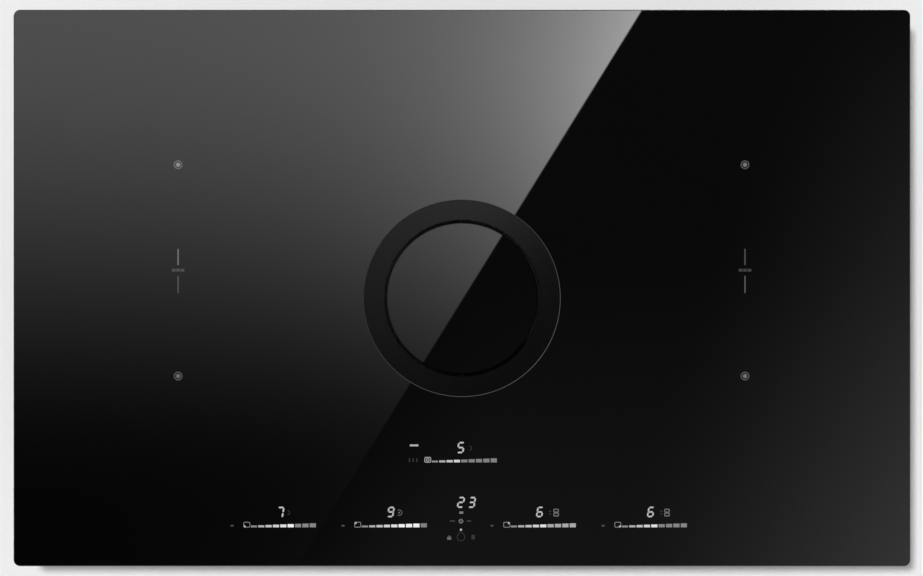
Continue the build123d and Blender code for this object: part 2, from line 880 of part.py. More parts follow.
def power_capacitors():
    """Upright cans on the outer side of both power boards."""
    cans = []
    for side in sides.values():
        x = side * (power_board_x + power_board_w / 2 - capacitor_r - capacitor_edge_gap)
        for index in range(capacitors_a_side):
            y = power_board_y + (index - (capacitors_a_side - 1) / 2) * capacitor_pitch
            can = disc(capacitor_r, board_top, board_top + capacitor_h, (x, y))
            cans.append(chamfer(can.faces().sort_by(Axis.Z)[-1].edges(), capacitor_bevel))
    return Compound(children=cans)


def cooling_fan_frame(side):
    """Square fan housing, open through, with a motor plate on four struts."""
    centre = (side * cooling_fan_x, cooling_fan_y)
    size = cooling_fan_size
    top = cooling_fan_top
    frame = plate(size, size, cooling_fan_corner_r, casing_floor, top, centre)
    frame -= disc(cooling_fan_bore_r, casing_floor, top, centre)
    plate_top = casing_floor + cooling_fan_plate_t
    frame += disc(cooling_fan_hub_r, casing_floor, plate_top, centre)
    for angle in (45, 135):
        strut_l = 2 * cooling_fan_bore_r + cooling_fan_strut_w / 2
        strut = Box(strut_l, cooling_fan_strut_w, cooling_fan_plate_t, align=stands)
        frame += Pos(centre[0], centre[1], casing_floor) * Rot(0, 0, angle) * strut
    frame += disc(spindle_r, plate_top, top - cooling_fan_spindle_drop, centre)
    reach = size / 2 - cooling_fan_screw_inset
    for x in (-reach, reach):
        for y in (-reach, reach):
            frame -= disc(screw_r, casing_floor, top, (centre[0] + x, centre[1] + y))
    return frame


def cooling_fan_rotor(side):
    """Axial wheel whose pitched blades stand on a hub that turns on the spindle."""
    centre = (side * cooling_fan_x, cooling_fan_y)
    low = casing_floor + cooling_fan_plate_t + cooling_fan_rotor_lift
    high = cooling_fan_top - cooling_fan_rotor_drop
    rotor = disc(cooling_fan_hub_r, low, high, centre)
    tip_r = cooling_fan_bore_r - cooling_fan_tip_gap
    blade_l = tip_r - cooling_fan_hub_r + cooling_fan_blade_t
    chord = (high - low - 2 * cooling_fan_blade_t) / math.sin(math.radians(cooling_fan_pitch_angle))
    for index in range(cooling_fan_blades):
        turn = Rot(0, 0, 360 * index / cooling_fan_blades)
        blade = Box(blade_l, chord, cooling_fan_blade_t)
        tilt = Pos(tip_r - blade_l / 2, 0, 0) * Rot(cooling_fan_pitch_angle, 0, 0)
        rotor += Pos(centre[0], centre[1], (low + high) / 2) * turn * tilt * blade
    rotor &= disc(tip_r, low, high, centre)
    return rotor - disc(spindle_r + running_fit, low, high, centre)


def control_outline(grow=0.0):
    """T-shaped outline of the control board, wide at the front."""
    strip = Pos(0, control_y) * Rectangle(control_w + 2 * grow, control_d + 2 * grow)
    tab_low = control_y
    tab_high = control_tab_top_y + grow
    tab = Pos(control_tab_x, (tab_low + tab_high) / 2) * Rectangle(
        control_tab_w + 2 * grow, tab_high - tab_low)
    return strip + tab


def control_board():
    return extrude(Pos(0, 0, control_low) * control_outline(), amount=board_t)


def control_holder():
    """Moulded tray round the control board, standing on legs on the casing's floor."""
    low = control_low - holder_wall
    high = frame_low - holder_gap
    outer = extrude(Pos(0, 0, low) * control_outline(holder_gap + holder_wall), amount=high - low)
    inner = extrude(Pos(0, 0, control_low) * control_outline(holder_gap), amount=high - control_low)
    holder = outer - inner
    for index in range(holder_legs):
        x = (index / (holder_legs - 1) - 0.5) * (control_w - 2 * holder_leg_w)
        holder += block(holder_leg_w, holder_leg_w, casing_floor, low, (x, control_y))
    holder += block(holder_leg_w, holder_leg_w, casing_floor, low,
                    (control_tab_x, control_tab_top_y - 2 * holder_leg_w))
    return holder


def touch_springs():
    """Square conductive pads between the board and the glass, one under each touch field."""
    rows = [(bar_x, control_y - touch_pad_offset) for bar_x in slider_x]
    rows.append((intake[0], control_tab_top_y - touch_tab_inset))
    pads = []
    for row_x, row_y in rows:
        for index in range(slider_keys):
            x = row_x + (index - (slider_keys - 1) / 2) * slider_pitch
            pads.append(block(touch_pad_w, touch_pad_w, control_top, glass_low, (x, row_y)))
    return Compound(children=pads)


def led_displays():
    """Number displays on the board: one behind each slider, one for the air, one timer."""
    blocks = []
    rear_y = control_y + (control_d - display_d) / 2 - display_edge_gap
    timer_y = control_tab_top_y - timer_display_inset - timer_display_d / 2
    high = control_top + display_h
    for bar_x in slider_x:
        blocks.append(block(display_w, display_d, control_top, high, (bar_x, rear_y)))
    blocks.append(block(2 * display_w, display_d, control_top, high, (intake[0], rear_y)))
    blocks.append(block(display_w, timer_display_d, control_top, high, (intake[0], timer_y)))
    return Compound(children=blocks)


def mains_board():
    centre = (0, mains_board_y)
    return plate(mains_board_w, mains_board_d, board_corner_r, board_low, board_top, centre)


def mains_choke():
    """Wound ring choke lying on the mains board."""
    centre = (choke_x, mains_board_y)
    core = tube(choke_hole_r, choke_r, board_top, board_top + choke_h, centre)
    edges = core.faces().sort_by(Axis.Z)[-1].edges()
    return fillet(edges, choke_round)


def terminal_block():
    """Screw terminals for the supply, on the mains board's back edge."""
    top = board_top + terminal_h
    body = block(terminal_w, terminal_d, board_top, top, (terminal_x, terminal_y))
    pitch = terminal_w / terminal_poles
    wire_low = board_top + terminal_wire_lift
    wire_y = terminal_y + (terminal_d - terminal_wire_depth) / 2
    for index in range(terminal_poles):
        x = terminal_x + (index - (terminal_poles - 1) / 2) * pitch
        body -= disc(terminal_screw_r, top - terminal_screw_depth, top, (x, terminal_y))
        body -= block(terminal_wire_w, terminal_wire_depth, wire_low, wire_low + terminal_wire_h,
                      (x, wire_y))
    return body


def terminal_cover():
    """Lift-up cover over the terminals, open towards the cable entry."""
    width = terminal_w + 2 * terminal_cover_gap
    depth = terminal_d + terminal_cover_gap
    top = board_top + terminal_h + terminal_cover_gap
    middle_y = terminal_y - terminal_cover_gap / 2
    cover = block(width + 2 * terminal_cover_t, depth + 2 * terminal_cover_t,
                  board_top, top + terminal_cover_t, (terminal_x, middle_y))
    cover -= block(width, depth, board_top, top, (terminal_x, middle_y))
    return cover - block(width, 2 * terminal_cover_t, board_top, top,
                         (terminal_x, middle_y + (depth + terminal_cover_t) / 2))


def cable_gland():
    """Bush in the casing's back wall for the supply cable."""
    outer_r = gland_bore_r + gland_wall
    inside_l = gland_length - gland_flange_t
    barrel_low = -inside_l
    bush = Pos(0, 0, barrel_low) * Cylinder(outer_r - running_fit, gland_length, align=stands)
    bush += Cylinder(outer_r + gland_flange, gland_flange_t, align=stands)
    collar_place = Pos(0, 0, -casing_sheet - gland_collar_t)
    bush += collar_place * Cylinder(outer_r + gland_collar, gland_collar_t, align=stands)
    bush -= Pos(0, 0, barrel_low) * Cylinder(gland_bore_r, gland_length, align=stands)
    return Pos(gland_x, casing_d / 2, gland_z) * Rot(-90, 0, 0) * bush


# ---------------------------------------------------------------- blower box
def box_outline(grow=0.0):
    """Plan of the blower box: one lobe round the well, one round the scroll, two back corners."""
    corner_y = box_back_y - box_corner_r
    right_x = scroll_end_centre[0] + box_lobe_r - box_corner_r
    left_x = outlet_left - scroll_wall - box_scroll_gap - box_wall + box_corner_r
    lobes = [
        Pos(*intake) * Circle(box_well_lobe_r + grow),
        Pos(*scroll_end_centre) * Circle(box_lobe_r + grow),
        Pos(left_x, corner_y) * Circle(box_corner_r + grow),
        Pos(right_x, corner_y) * Circle(box_corner_r + grow),
    ]
    edges = [edge for lobe in lobes for edge in lobe.edges()]
    return make_hull(edges)


def box_solid(grow, low, high):
    return extrude(Pos(0, 0, low) * box_outline(grow), amount=high - low)


def box_hanger_places():
    """Where the blower box hangs on screws from the casing's floor."""
    reach = box_well_lobe_r - box_wall / 2 - post_r
    lobe_reach = (box_lobe_r - box_wall / 2 - post_r) * math.sqrt(0.5)
    back_y = box_back_y - 4 * post_r
    return [
        (intake[0] - reach, intake_y),
        (intake[0], intake_y - reach),
        (scroll_end_centre[0] + lobe_reach, scroll_end_centre[1] - lobe_reach),
        (outlet_right - 2 * post_r, back_y),
        (outlet_left + 2 * post_r, back_y),
    ]


def scroll_hanger_places():
    """Posts that carry the scroll's roof from the roof of the box."""
    reach = (scroll_start_r - post_r) * math.sqrt(0.5)
    return [
        (fan_x - reach, fan_y - reach),
        (fan_x + reach, fan_y - reach),
        (outlet_x, (fan_y + scroll_start_r + box_back_y) / 2),
    ]


def fan_box_upper():
    """Deep upper shell with the well's hole, hanging bosses and the outlet window."""
    shell = box_solid(0.0, box_split_z, box_top)
    shell += box_solid(box_flange, box_split_z, box_split_z + box_flange_t)
    shell -= box_solid(-box_wall, box_split_z, box_top - box_wall)
    shell -= disc(tail_outer_r + casing_hole_gap, box_top - box_wall, box_top, intake)
    for spot in box_hanger_places():
        shell += disc(post_r, casing_low - post_depth, casing_low, spot)
        shell -= disc(screw_r, casing_low - screw_length - screw_tip, casing_low, spot)
    for spot in scroll_hanger_places():
        shell += disc(post_r, scroll_top, box_top - box_wall, spot)
    window_w = duct_w - 2 * duct_wall
    window_h = duct_h - 2 * duct_wall
    shell -= Pos(outlet_x, box_back_y, duct_z) * Box(window_w, 4 * box_wall, window_h)
    for spot in box_screw_places():
        shell -= disc(screw_r, box_split_z, box_split_z + box_flange_t, spot)
    return shell


def box_screw_places():
    """Screws spaced evenly along the middle of the split flange."""
    line = box_outline(box_flange / 2 + running_fit).face().outer_wire()
    places = []
    for index in range(box_screw_count):
        point = line @ (index / box_screw_count)
        places.append((point.X, point.Y))
    return places


def fan_box_lower():
    """Shallow lower shell with the sump under the filter and the matching flange."""
    shell = box_solid(0.0, box_bottom_z, box_split_z)
    shell = chamfer(shell.faces().sort_by(Axis.Z)[0].edges(), box_floor_bevel)
    shell += box_solid(box_flange, box_split_z - box_flange_t, box_split_z)
    hollow = box_solid(-box_wall, box_bottom_z + box_wall, box_split_z)
    inner_bevel = box_floor_bevel - (2 - math.sqrt(2)) * box_wall
    shell -= chamfer(hollow.faces().sort_by(Axis.Z)[0].edges(), inner_bevel)
    floor = box_bottom_z + box_wall
    shell += tube(sump_r, sump_r + box_wall, floor, floor + sump_h, intake)
    for spot in box_screw_places():
        shell -= disc(screw_r, box_split_z - box_flange_t, box_split_z, spot)
    return shell


def deck_seal():
    """Foam ring between the casing's floor and the roof of the blower box."""
    inner_r = tail_outer_r + casing_hole_gap
    return tube(inner_r, inner_r + deck_seal_band, box_top, casing_low, intake)


def box_screws():
    """Screws up through the split flange, and down from the casing into the hanging bosses."""
    flange_screw = Rot(180, 0, 0) * screw(2 * box_flange_t + screw_tip)
    hanger_screw = screw(casing_sheet + screw_length)
    screws = []
    for x, y in box_screw_places():
        screws.append(Pos(x, y, box_split_z - box_flange_t) * flange_screw)
    for x, y in box_hanger_places():
        screws.append(Pos(x, y, casing_floor) * hanger_screw)
    return Compound(children=screws)


def scroll_outline():
    """Inside of the volute: quarter arcs whose centres step round a small square."""
    centres = [fan, (fan_x + scroll_step, fan_y), scroll_end_centre]
    arcs = []
    for turn, centre in enumerate(centres):
        radius = scroll_start_r + turn * scroll_step
        arcs.append(CenterArc(centre, radius, 90 * (turn + 1), 90))
    tongue = arcs[0] @ 0
    end = arcs[-1] @ 1
    back = box_back_y - box_wall - scroll_wall
    walls = Polyline((end.X, end.Y), (outlet_right, back), (outlet_left, back), (tongue.X, tongue.Y))
    outline = make_face(arcs + [walls])
    corner = outline.vertices().sort_by_distance((tongue.X, tongue.Y, 0))[0]
    return fillet(corner, tongue_r)


def scroll_solid(outline, low, high):
    return extrude(Pos(0, 0, low) * outline, amount=high - low)


def scroll_housing():
    """Volute wall and floor, open on top and at the outlet."""
    inside = scroll_outline()
    outside = offset(inside, amount=scroll_wall)
    housing = scroll_solid(outside, scroll_low, scroll_ceiling)
    housing -= scroll_solid(inside, scroll_floor, scroll_ceiling)
    mouth_y = box_back_y - box_wall - scroll_wall
    width = outlet_right - outlet_left
    housing -= block(width, 4 * scroll_wall, scroll_floor, scroll_ceiling, (outlet_x, mouth_y))
    inlet_hole_r = impeller_inner_r - inlet_gap + running_fit
    return housing - disc(inlet_hole_r, scroll_low, scroll_floor, fan)


def scroll_cover():
    """Flat roof of the volute, with the hole that the motor hangs through."""
    cover = scroll_solid(offset(scroll_outline(), amount=scroll_wall), scroll_ceiling, scroll_top)
    return cover - disc(motor_r + motor_hole_gap, scroll_ceiling, scroll_top, fan)


def inlet_ring():
    """Bell-mouth from under the scroll's floor up into the mouth of the impeller."""
    outer_r = impeller_inner_r - inlet_gap
    inner_r = outer_r - inlet_wall
    flare = inlet_flange / 2
    top = impeller_low + inlet_overlap
    low = scroll_low - inlet_wall
    points = [
        (inner_r, top),
        (outer_r, top),
        (outer_r, scroll_low),
        (outer_r + inlet_flange, scroll_low),
        (outer_r + inlet_flange, low),
        (inner_r + flare, low),
        (inner_r, low + flare),
    ]
    return spun(points, fan)


def impeller_blade():
    """One forward-curved blade: a slice of a round arc between the inner and outer circle."""
    middle_r = (impeller_r + impeller_inner_r) / 2
    ring = Circle(impeller_r - fit_gap) - Circle(impeller_inner_r + fit_gap)
    curve = Circle(impeller_blade_arc_r) - Circle(impeller_blade_arc_r - impeller_blade_t)
    lower_w = 2 * impeller_blade_depth
    lower = Rectangle(lower_w, lower_w, align=(Align.CENTER, Align.MAX))
    blade = (Pos(middle_r, impeller_blade_rise) * curve) & ring
    blade &= Pos(middle_r, impeller_blade_rise - impeller_blade_root / 2) * lower
    return blade.faces().sort_by(SortBy.AREA)[-1]


def impeller():
    """Squirrel-cage wheel: cupped back plate, curved blades and the end ring."""
    top = impeller_top
    cup_low = impeller_cup_low
    plate_low = top - impeller_plate_t
    cup_inner_r = impeller_cup_r - impeller_plate_t
    slope_r = cup_inner_r - impeller_cup_slope
    slope_top = cup_low + impeller_cup_slope
    points = [
        (shaft_r + running_fit, impeller_hub_low),
        (impeller_hub_r, impeller_hub_low),
        (impeller_hub_r, cup_low - impeller_plate_t),
        (slope_r, cup_low - impeller_plate_t),
        (impeller_cup_r, slope_top),
        (impeller_cup_r, plate_low),
        (impeller_r, plate_low),
        (impeller_r, top),
        (cup_inner_r, top),
        (cup_inner_r, slope_top),
        (slope_r, cup_low),
        (shaft_r + running_fit, cup_low),
    ]
    wheel = spun(points)
    wheel += tube(impeller_inner_r, impeller_r, impeller_low, impeller_low + impeller_ring_t)
    blade = extrude(Pos(0, 0, impeller_low + impeller_ring_t / 2) * impeller_blade(),
                    amount=plate_low - impeller_low)
    blades = [Rot(0, 0, 360 * index / impeller_blades) * blade for index in range(impeller_blades)]
    return Pos(*fan, 0) * (wheel + blades)


def impeller_shaft():
    shaft = disc(shaft_r, impeller_hub_low + shaft_end, motor_plate_top + motor_boss_h + shaft_end, fan)
    return chamfer(shaft.faces().sort_by(Axis.Z)[-1].edges(), shaft_bevel)


def motor_arm_places():
    places = []
    for index in range(motor_arms):
        angle = math.radians(90 + 360 * index / motor_arms)
        places.append((fan_x + motor_arm_r * math.cos(angle), fan_y + motor_arm_r * math.sin(angle)))
    return places


def fan_motor():
    """Flat motor hanging through the scroll's roof on a three-armed plate."""
    arms = Circle(motor_r + motor_plate_margin)
    for index in range(motor_arms):
        turn = Rot(0, 0, 90 + 360 * index / motor_arms)
        arms += turn * Pos(motor_arm_r / 2, 0) * Rectangle(motor_arm_r, motor_arm_w)
        arms += turn * Pos(motor_arm_r, 0) * Circle(motor_arm_w / 2)
    motor = extrude(Pos(fan_x, fan_y, motor_plate_low) * arms, amount=motor_plate_t)
    can = disc(motor_r, motor_low, motor_plate_low, fan)
    motor += chamfer(can.faces().sort_by(Axis.Z)[0].edges(), motor_bevel)
    motor += disc(motor_boss_r, motor_plate_top, motor_plate_top + motor_boss_h, fan)
    for spot in motor_arm_places():
        motor -= disc(grommet_waist_r, motor_plate_low, motor_plate_top, spot)
    return motor - disc(shaft_r + running_fit, motor_low, motor_plate_top + motor_boss_h, fan)


def motor_grommets():
    """Rubber bushes between the motor's arms and the scroll's roof."""
    bushes = []
    for spot in motor_arm_places():
        bush = disc(grommet_r, scroll_top, motor_plate_low, spot)
        bush += disc(grommet_waist_r, motor_plate_low, motor_plate_top, spot)
        bush += disc(grommet_r, motor_plate_top, motor_plate_top + grommet_lip_t, spot)
        bushes.append(bush)
    return Compound(children=bushes)


def outlet_collar():
    """Flat-duct spigot screwed to the back of the blower box, with a bead near its mouth."""
    bore_r = duct_corner_r - duct_wall
    bead_r = duct_corner_r + duct_bead
    mouth = RectangleRounded(duct_w, duct_h, duct_corner_r)
    bore = RectangleRounded(duct_w - 2 * duct_wall, duct_h - 2 * duct_wall, bore_r)
    rim = RectangleRounded(duct_w + 2 * duct_flange, duct_h + 2 * duct_flange, duct_corner_r)
    bead = RectangleRounded(duct_w + 2 * duct_bead, duct_h + 2 * duct_bead, bead_r)
    spigot = extrude(mouth, amount=duct_length)
    spigot += extrude(rim, amount=duct_flange_t)
    spigot += extrude(Pos(0, 0, duct_length - duct_bead_inset) * bead, amount=duct_bead_w)
    spigot -= extrude(bore, amount=duct_length)
    return Pos(outlet_x, box_back_y, duct_z) * Rot(-90, 0, 0) * spigot


# ---------------------------------------------------------------- one STEP file per piece
def main():
    os.makedirs("parts", exist_ok=True)
    write("glass_top", glass_top())
    write("rim_gasket", rim_gasket())
    write("glass_adhesive", glass_adhesive())
    write("glass_frame", glass_frame())
    write("frame_screws", frame_screws())
    write("hob_casing", hob_casing())
    write("fixing_brackets", fixing_brackets())
    write("ring_trim", ring_trim())
    write("ring_seal", ring_seal())
    write("flap_glass", flap_glass())
    write("flap_carrier", flap_carrier())
    write("flap_pins", flap_pins())
    write("intake_well", intake_well())
    write("well_seal", well_seal())
    write("filter_frame", filter_frame())
    write("filter_mesh", filter_mesh())
    write("filter_handles", filter_handles())
    write("drip_cup", drip_cup())
    for name, centre in coil_places.items():
        write("coil_winding_" + name, coil_winding(centre))
        write("coil_carrier_" + name, coil_carrier(centre))
    write("coil_sensors", coil_sensors())
    write("ferrite_bars", ferrite_bars())
    write("mica_sheets", mica_sheets())
    write("power_boards", power_boards())
    write("heat_sinks", heat_sinks())
    for name, side in sides.items():
        write("coil_tray_" + name, coil_tray(side))
        write("cooling_fan_frame_" + name, cooling_fan_frame(side))
        write("cooling_fan_rotor_" + name, cooling_fan_rotor(side))
    write("power_capacitors", power_capacitors())
    write("control_board", control_board())
    write("control_holder", control_holder())
    write("touch_springs", touch_springs())
    write("led_displays", led_displays())
    write("mains_board", mains_board())
    write("mains_choke", mains_choke())
    write("terminal_block", terminal_block())
    write("terminal_cover", terminal_cover())
    write("cable_gland", cable_gland())
    write("fan_box_upper", fan_box_upper())
    write("fan_box_lower", fan_box_lower())
    write("deck_seal", deck_seal())
    write("box_screws", box_screws())
    write("scroll_housing", scroll_housing())
    write("scroll_cover", scroll_cover())
    write("inlet_ring", inlet_ring())
    write("impeller", impeller())
    write("impeller_shaft", impeller_shaft())
    write("fan_motor", fan_motor())
    write("motor_grommets", motor_grommets())
    write("outlet_collar", outlet_collar())


main()
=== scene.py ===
"""Looks of the downdraft induction cooktop: finishes, lit displays, zone marks, light and camera.

Metres throughout. +X is the user's right, +Y the back, +Z up, and z = 0 is the worktop's surface.
"""

from collections import namedtuple
from math import cos, pi, radians, sin, tan

import bmesh
import bpy
from mathutils import Matrix, Vector


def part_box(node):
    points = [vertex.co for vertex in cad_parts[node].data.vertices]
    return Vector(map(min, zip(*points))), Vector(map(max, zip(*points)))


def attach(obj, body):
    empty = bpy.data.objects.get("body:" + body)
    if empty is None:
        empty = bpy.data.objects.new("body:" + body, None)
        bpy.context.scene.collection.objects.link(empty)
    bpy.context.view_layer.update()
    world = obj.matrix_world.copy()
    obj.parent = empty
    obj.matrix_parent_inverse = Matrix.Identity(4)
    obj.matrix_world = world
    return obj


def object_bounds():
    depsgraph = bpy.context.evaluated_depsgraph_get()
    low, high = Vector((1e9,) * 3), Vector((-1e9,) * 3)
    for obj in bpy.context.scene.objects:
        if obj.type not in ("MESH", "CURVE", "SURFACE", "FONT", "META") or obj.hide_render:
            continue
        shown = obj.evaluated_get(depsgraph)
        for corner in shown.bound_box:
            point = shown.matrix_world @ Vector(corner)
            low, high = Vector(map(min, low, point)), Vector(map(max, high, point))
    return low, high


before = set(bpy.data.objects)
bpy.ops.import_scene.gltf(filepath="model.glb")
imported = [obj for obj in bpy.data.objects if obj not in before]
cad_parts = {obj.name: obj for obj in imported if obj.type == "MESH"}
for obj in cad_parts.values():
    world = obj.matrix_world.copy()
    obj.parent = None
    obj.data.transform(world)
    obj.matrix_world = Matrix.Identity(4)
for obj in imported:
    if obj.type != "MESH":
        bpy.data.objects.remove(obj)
cad_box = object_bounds()

# ---------------------------------------------------------------- places taken from the frame
glass_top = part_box("glass_top")[1].z
ring_low, ring_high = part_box("ring_trim")
ring_face_centre = ((ring_low.x + ring_high.x) / 2, (ring_low.y + ring_high.y) / 2, ring_high.z)
floor_z = cad_box[0][2]

# ---------------------------------------------------------------- the photograph's view
SENSOR = 0.036
CAMERA_HEIGHT = 8.0
VIEW_WIDTH = 0.8543
VIEW_CENTRE = (-0.0004, 0.0)
CAMERA_CLIP = (0.1, 100.0)


# ================================================================ materials
class Nodes:
    """Adds nodes to a tree. Each value is a number, a colour or the socket it comes from."""

    def __init__(self, tree):
        self.tree = tree

    def node(self, kind, inputs=None, **settings):
        """Adds a node, and fills or links its inputs."""
        new = self.tree.nodes.new("ShaderNode" + kind)
        for name, value in settings.items():
            setattr(new, name, value)
        for name, value in (inputs or {}).items():
            self.set_input(new.inputs[name], value)
        return new

    def set_input(self, socket, value):
        if isinstance(value, bpy.types.NodeSocket):
            self.tree.links.new(value, socket)
        else:
            socket.default_value = value

    def math(self, operation, *values):
        return self.node("Math", dict(enumerate(values)), operation=operation).outputs[0]

    def add(self, *values):
        total = values[0]
        for value in values[1:]:
            total = self.math("ADD", total, value)
        return total

    def multiply(self, *values):
        product = values[0]
        for value in values[1:]:
            product = self.math("MULTIPLY", product, value)
        return product

    def level(self, value, low, high, from_low=0.3, from_high=0.7):
        """Maps from_low..from_high to low..high. As they stand, these limits suit a noise."""
        limits = {"Value": value, "From Min": from_low, "From Max": from_high, "To Min": low, "To Max": high}
        return self.node("MapRange", limits).outputs["Result"]

    def blend(self, share, first, second):
        """Number between first and second."""
        return self.node("Mix", {0: share, 2: first, 3: second}).outputs[0]


def opaque(color):
    """A colour with its alpha, or the socket that it comes from."""
    return color if isinstance(color, bpy.types.NodeSocket) else (*color, 1.0)


class Finish(Nodes):
    """A Principled material whose colour, roughness and relief come from noise in the frame's own metres."""

    def __init__(self, name, metallic=0.0):
        self.material = bpy.data.materials.new(name)
        self.material.use_nodes = True
        super().__init__(self.material.node_tree)
        self.shader = self.tree.nodes["Principled BSDF"]
        self.shader.inputs["Metallic"].default_value = metallic
        self.shader.inputs["IOR"].default_value = 1.5
        self.place = self.node("TexCoord").outputs["Object"]
        self.relief = None

    def noise(self, size, detail=3.0, stretch=None):
        """Noise whose patches measure about size, squeezed by stretch along each axis."""
        place = self.place
        if stretch:
            place = self.node("Mapping", {"Vector": place, "Scale": stretch}).outputs["Vector"]
        return self.node("TexNoise", {"Vector": place, "Scale": 1 / size, "Detail": detail}).outputs["Fac"]

    def cells(self, size, output="Distance"):
        """Cells about size across."""
        return self.node("TexVoronoi", {"Vector": self.place, "Scale": 1 / size}).outputs[output]

    def cell_shade(self, size):
        """One random level for each cell."""
        return self.node("SeparateColor", {"Color": self.cells(size, "Color")}).outputs["Red"]

    def mix(self, share, first, second):
        """Colour between first and second. Each is a colour or a socket."""
        values = {0: share, 6: opaque(first), 7: opaque(second)}
        return self.node("Mix", values, data_type="RGBA").outputs[2]

    def color(self, value):
        self.set_input(self.shader.inputs["Base Color"], opaque(value))

    def roughness(self, value):
        self.set_input(self.shader.inputs["Roughness"], value)

    def bump(self, height, depth, strength=1.0):
        """Adds relief of that depth in metres on top of what is there."""
        values = {"Height": height, "Distance": depth, "Strength": strength}
        if self.relief is not None:
            values["Normal"] = self.relief
        self.relief = self.node("Bump", values).outputs["Normal"]
        self.tree.links.new(self.relief, self.shader.inputs["Normal"])


def black_glass(name="black_glass_finish", specular=0.5):
    """Glass ceramic: printed black from below, polished, with the faintest haze."""
    finish = Finish(name)
    finish.shader.inputs["Specular IOR Level"].default_value = specular
    cloud = finish.noise(0.12, 2.0)
    finish.color(finish.mix(cloud, (0.0003, 0.0003, 0.00035), (0.0006, 0.0006, 0.00065)))
    finish.roughness(finish.level(finish.noise(0.03), 0.010, 0.018))
    return finish.material


# the ring's bare edge: outside this radius of its face, where the bevel leans
RING_EDGE_R = 0.0909
RING_EDGE_SOFT = 0.0002
# height of the normal: the steep side below the bevel, and the flat face above it
BEVEL_FROM = (0.45, 0.6)
BEVEL_TO = (0.9, 0.97)


def satin_black_metal():
    """Powder-coated ring: fine even grain, matt, with its turned outer edge left bare and darkened."""
    finish = Finish("satin_black_metal_finish")
    finish.shader.inputs["Specular IOR Level"].default_value = 0.15
    normal = finish.node("TexCoord").outputs["Normal"]
    upright = finish.node("SeparateXYZ", {"Vector": normal}).outputs["Z"]
    leaning = finish.multiply(
        finish.level(upright, 0.0, 1.0, *BEVEL_FROM), finish.level(upright, 1.0, 0.0, *BEVEL_TO))
    reach = finish.node("VectorMath", {0: finish.place, 1: ring_face_centre}, operation="DISTANCE")
    outer = finish.level(reach.outputs["Value"], 0.0, 1.0, RING_EDGE_R - RING_EDGE_SOFT, RING_EDGE_R)
    edge = finish.multiply(leaning, outer)
    coat = finish.mix(finish.noise(0.004), (0.0009, 0.0009, 0.0010), (0.0017, 0.0017, 0.0018))
    finish.color(finish.mix(edge, coat, (0.13, 0.13, 0.135)))
    finish.set_input(finish.shader.inputs["Metallic"], edge)
    finish.roughness(finish.level(finish.noise(0.0015), 0.23, 0.29))
    finish.bump(finish.noise(0.0006, 2.0), 0.000008, 0.5)
    return finish.material


def moulded(name, dark, light, low=0.42, high=0.54):
    """Moulded plastic with a spark-eroded grain and slight flow marks."""
    finish = Finish(name)
    flow = finish.noise(0.05, 3.0, (1.0, 1.0, 2.5))
    finish.color(finish.mix(flow, dark, light))
    finish.roughness(finish.level(finish.noise(0.012), low, high))
    finish.bump(finish.noise(0.0008, 2.0), 0.00003, 0.7)
    return finish.material


def zinc_steel():
    """Hot-dip galvanised sheet: crystals of slightly different grey and gloss."""
    finish = Finish("zinc_steel_finish", metallic=1.0)
    shade = finish.cell_shade(0.011)
    tone = finish.mix(shade, (0.50, 0.51, 0.52), (0.62, 0.63, 0.645))
    finish.color(finish.mix(finish.level(finish.noise(0.09), 0.0, 0.35), tone, (0.46, 0.47, 0.485)))
    gloss = finish.add(finish.level(shade, 0.30, 0.42, 0.0, 1.0), finish.level(finish.noise(0.02), 0.0, 0.06))
    finish.roughness(gloss)
    finish.bump(finish.noise(0.0025), 0.00002, 0.5)
    return finish.material


def brushed(name, dark, light, low, high, stretch=(1.0, 40.0, 40.0)):
    """Metal with fine lines left by rolling or brushing."""
    finish = Finish(name, metallic=1.0)
    line = finish.noise(0.012, 4.0, stretch)
    finish.color(finish.mix(line, dark, light))
    finish.roughness(finish.level(line, low, high))
    finish.bump(line, 0.000015, 0.5)
    return finish.material


def rubber(name, dark, light):
    """Soft seal rubber: dull, with dust in its pores."""
    finish = Finish(name)
    finish.color(finish.mix(finish.noise(0.008, 4.0), dark, light))
    finish.roughness(finish.level(finish.noise(0.003), 0.62, 0.78))
    finish.bump(finish.noise(0.0012), 0.00003, 0.6)
    return finish.material


def foam():
    """Open-cell sealing foam."""
    finish = Finish("foam_finish")
    pore = finish.cells(0.0011)
    wall = finish.level(pore, 0.0, 1.0, 0.1, 0.6)
    finish.color(finish.mix(wall, (0.012, 0.012, 0.013), (0.045, 0.045, 0.047)))
    finish.roughness(0.9)
    finish.bump(pore, 0.0003, 1.0)
    return finish.material


def copper_litz():
    """Stranded, lacquered copper wire: a fine uneven surface and a warm sheen."""
    finish = Finish("copper_litz_finish", metallic=0.85)
    strand = finish.noise(0.0012, 2.0)
    finish.color(finish.mix(strand, (0.30, 0.098, 0.035), (0.60, 0.235, 0.095)))
    finish.roughness(finish.level(strand, 0.34, 0.52))
    finish.bump(strand, 0.00018, 0.9)
    return finish.material


def ferrite():
    finish = Finish("ferrite_finish")
    finish.color(finish.mix(finish.noise(0.002), (0.028, 0.027, 0.028), (0.055, 0.053, 0.054)))
    finish.roughness(finish.level(finish.noise(0.004), 0.55, 0.7))
    finish.bump(finish.noise(0.0007), 0.00004, 0.8)
    return finish.material


def mica():
    """Pressed mica: pale flakes in many directions."""
    finish = Finish("mica_finish")
    flake = finish.cell_shade(0.003)
    finish.color(finish.mix(flake, (0.50, 0.45, 0.36), (0.66, 0.62, 0.52)))
    finish.roughness(finish.level(flake, 0.28, 0.55, 0.0, 1.0))
    finish.bump(flake, 0.00003, 0.6)
    return finish.material


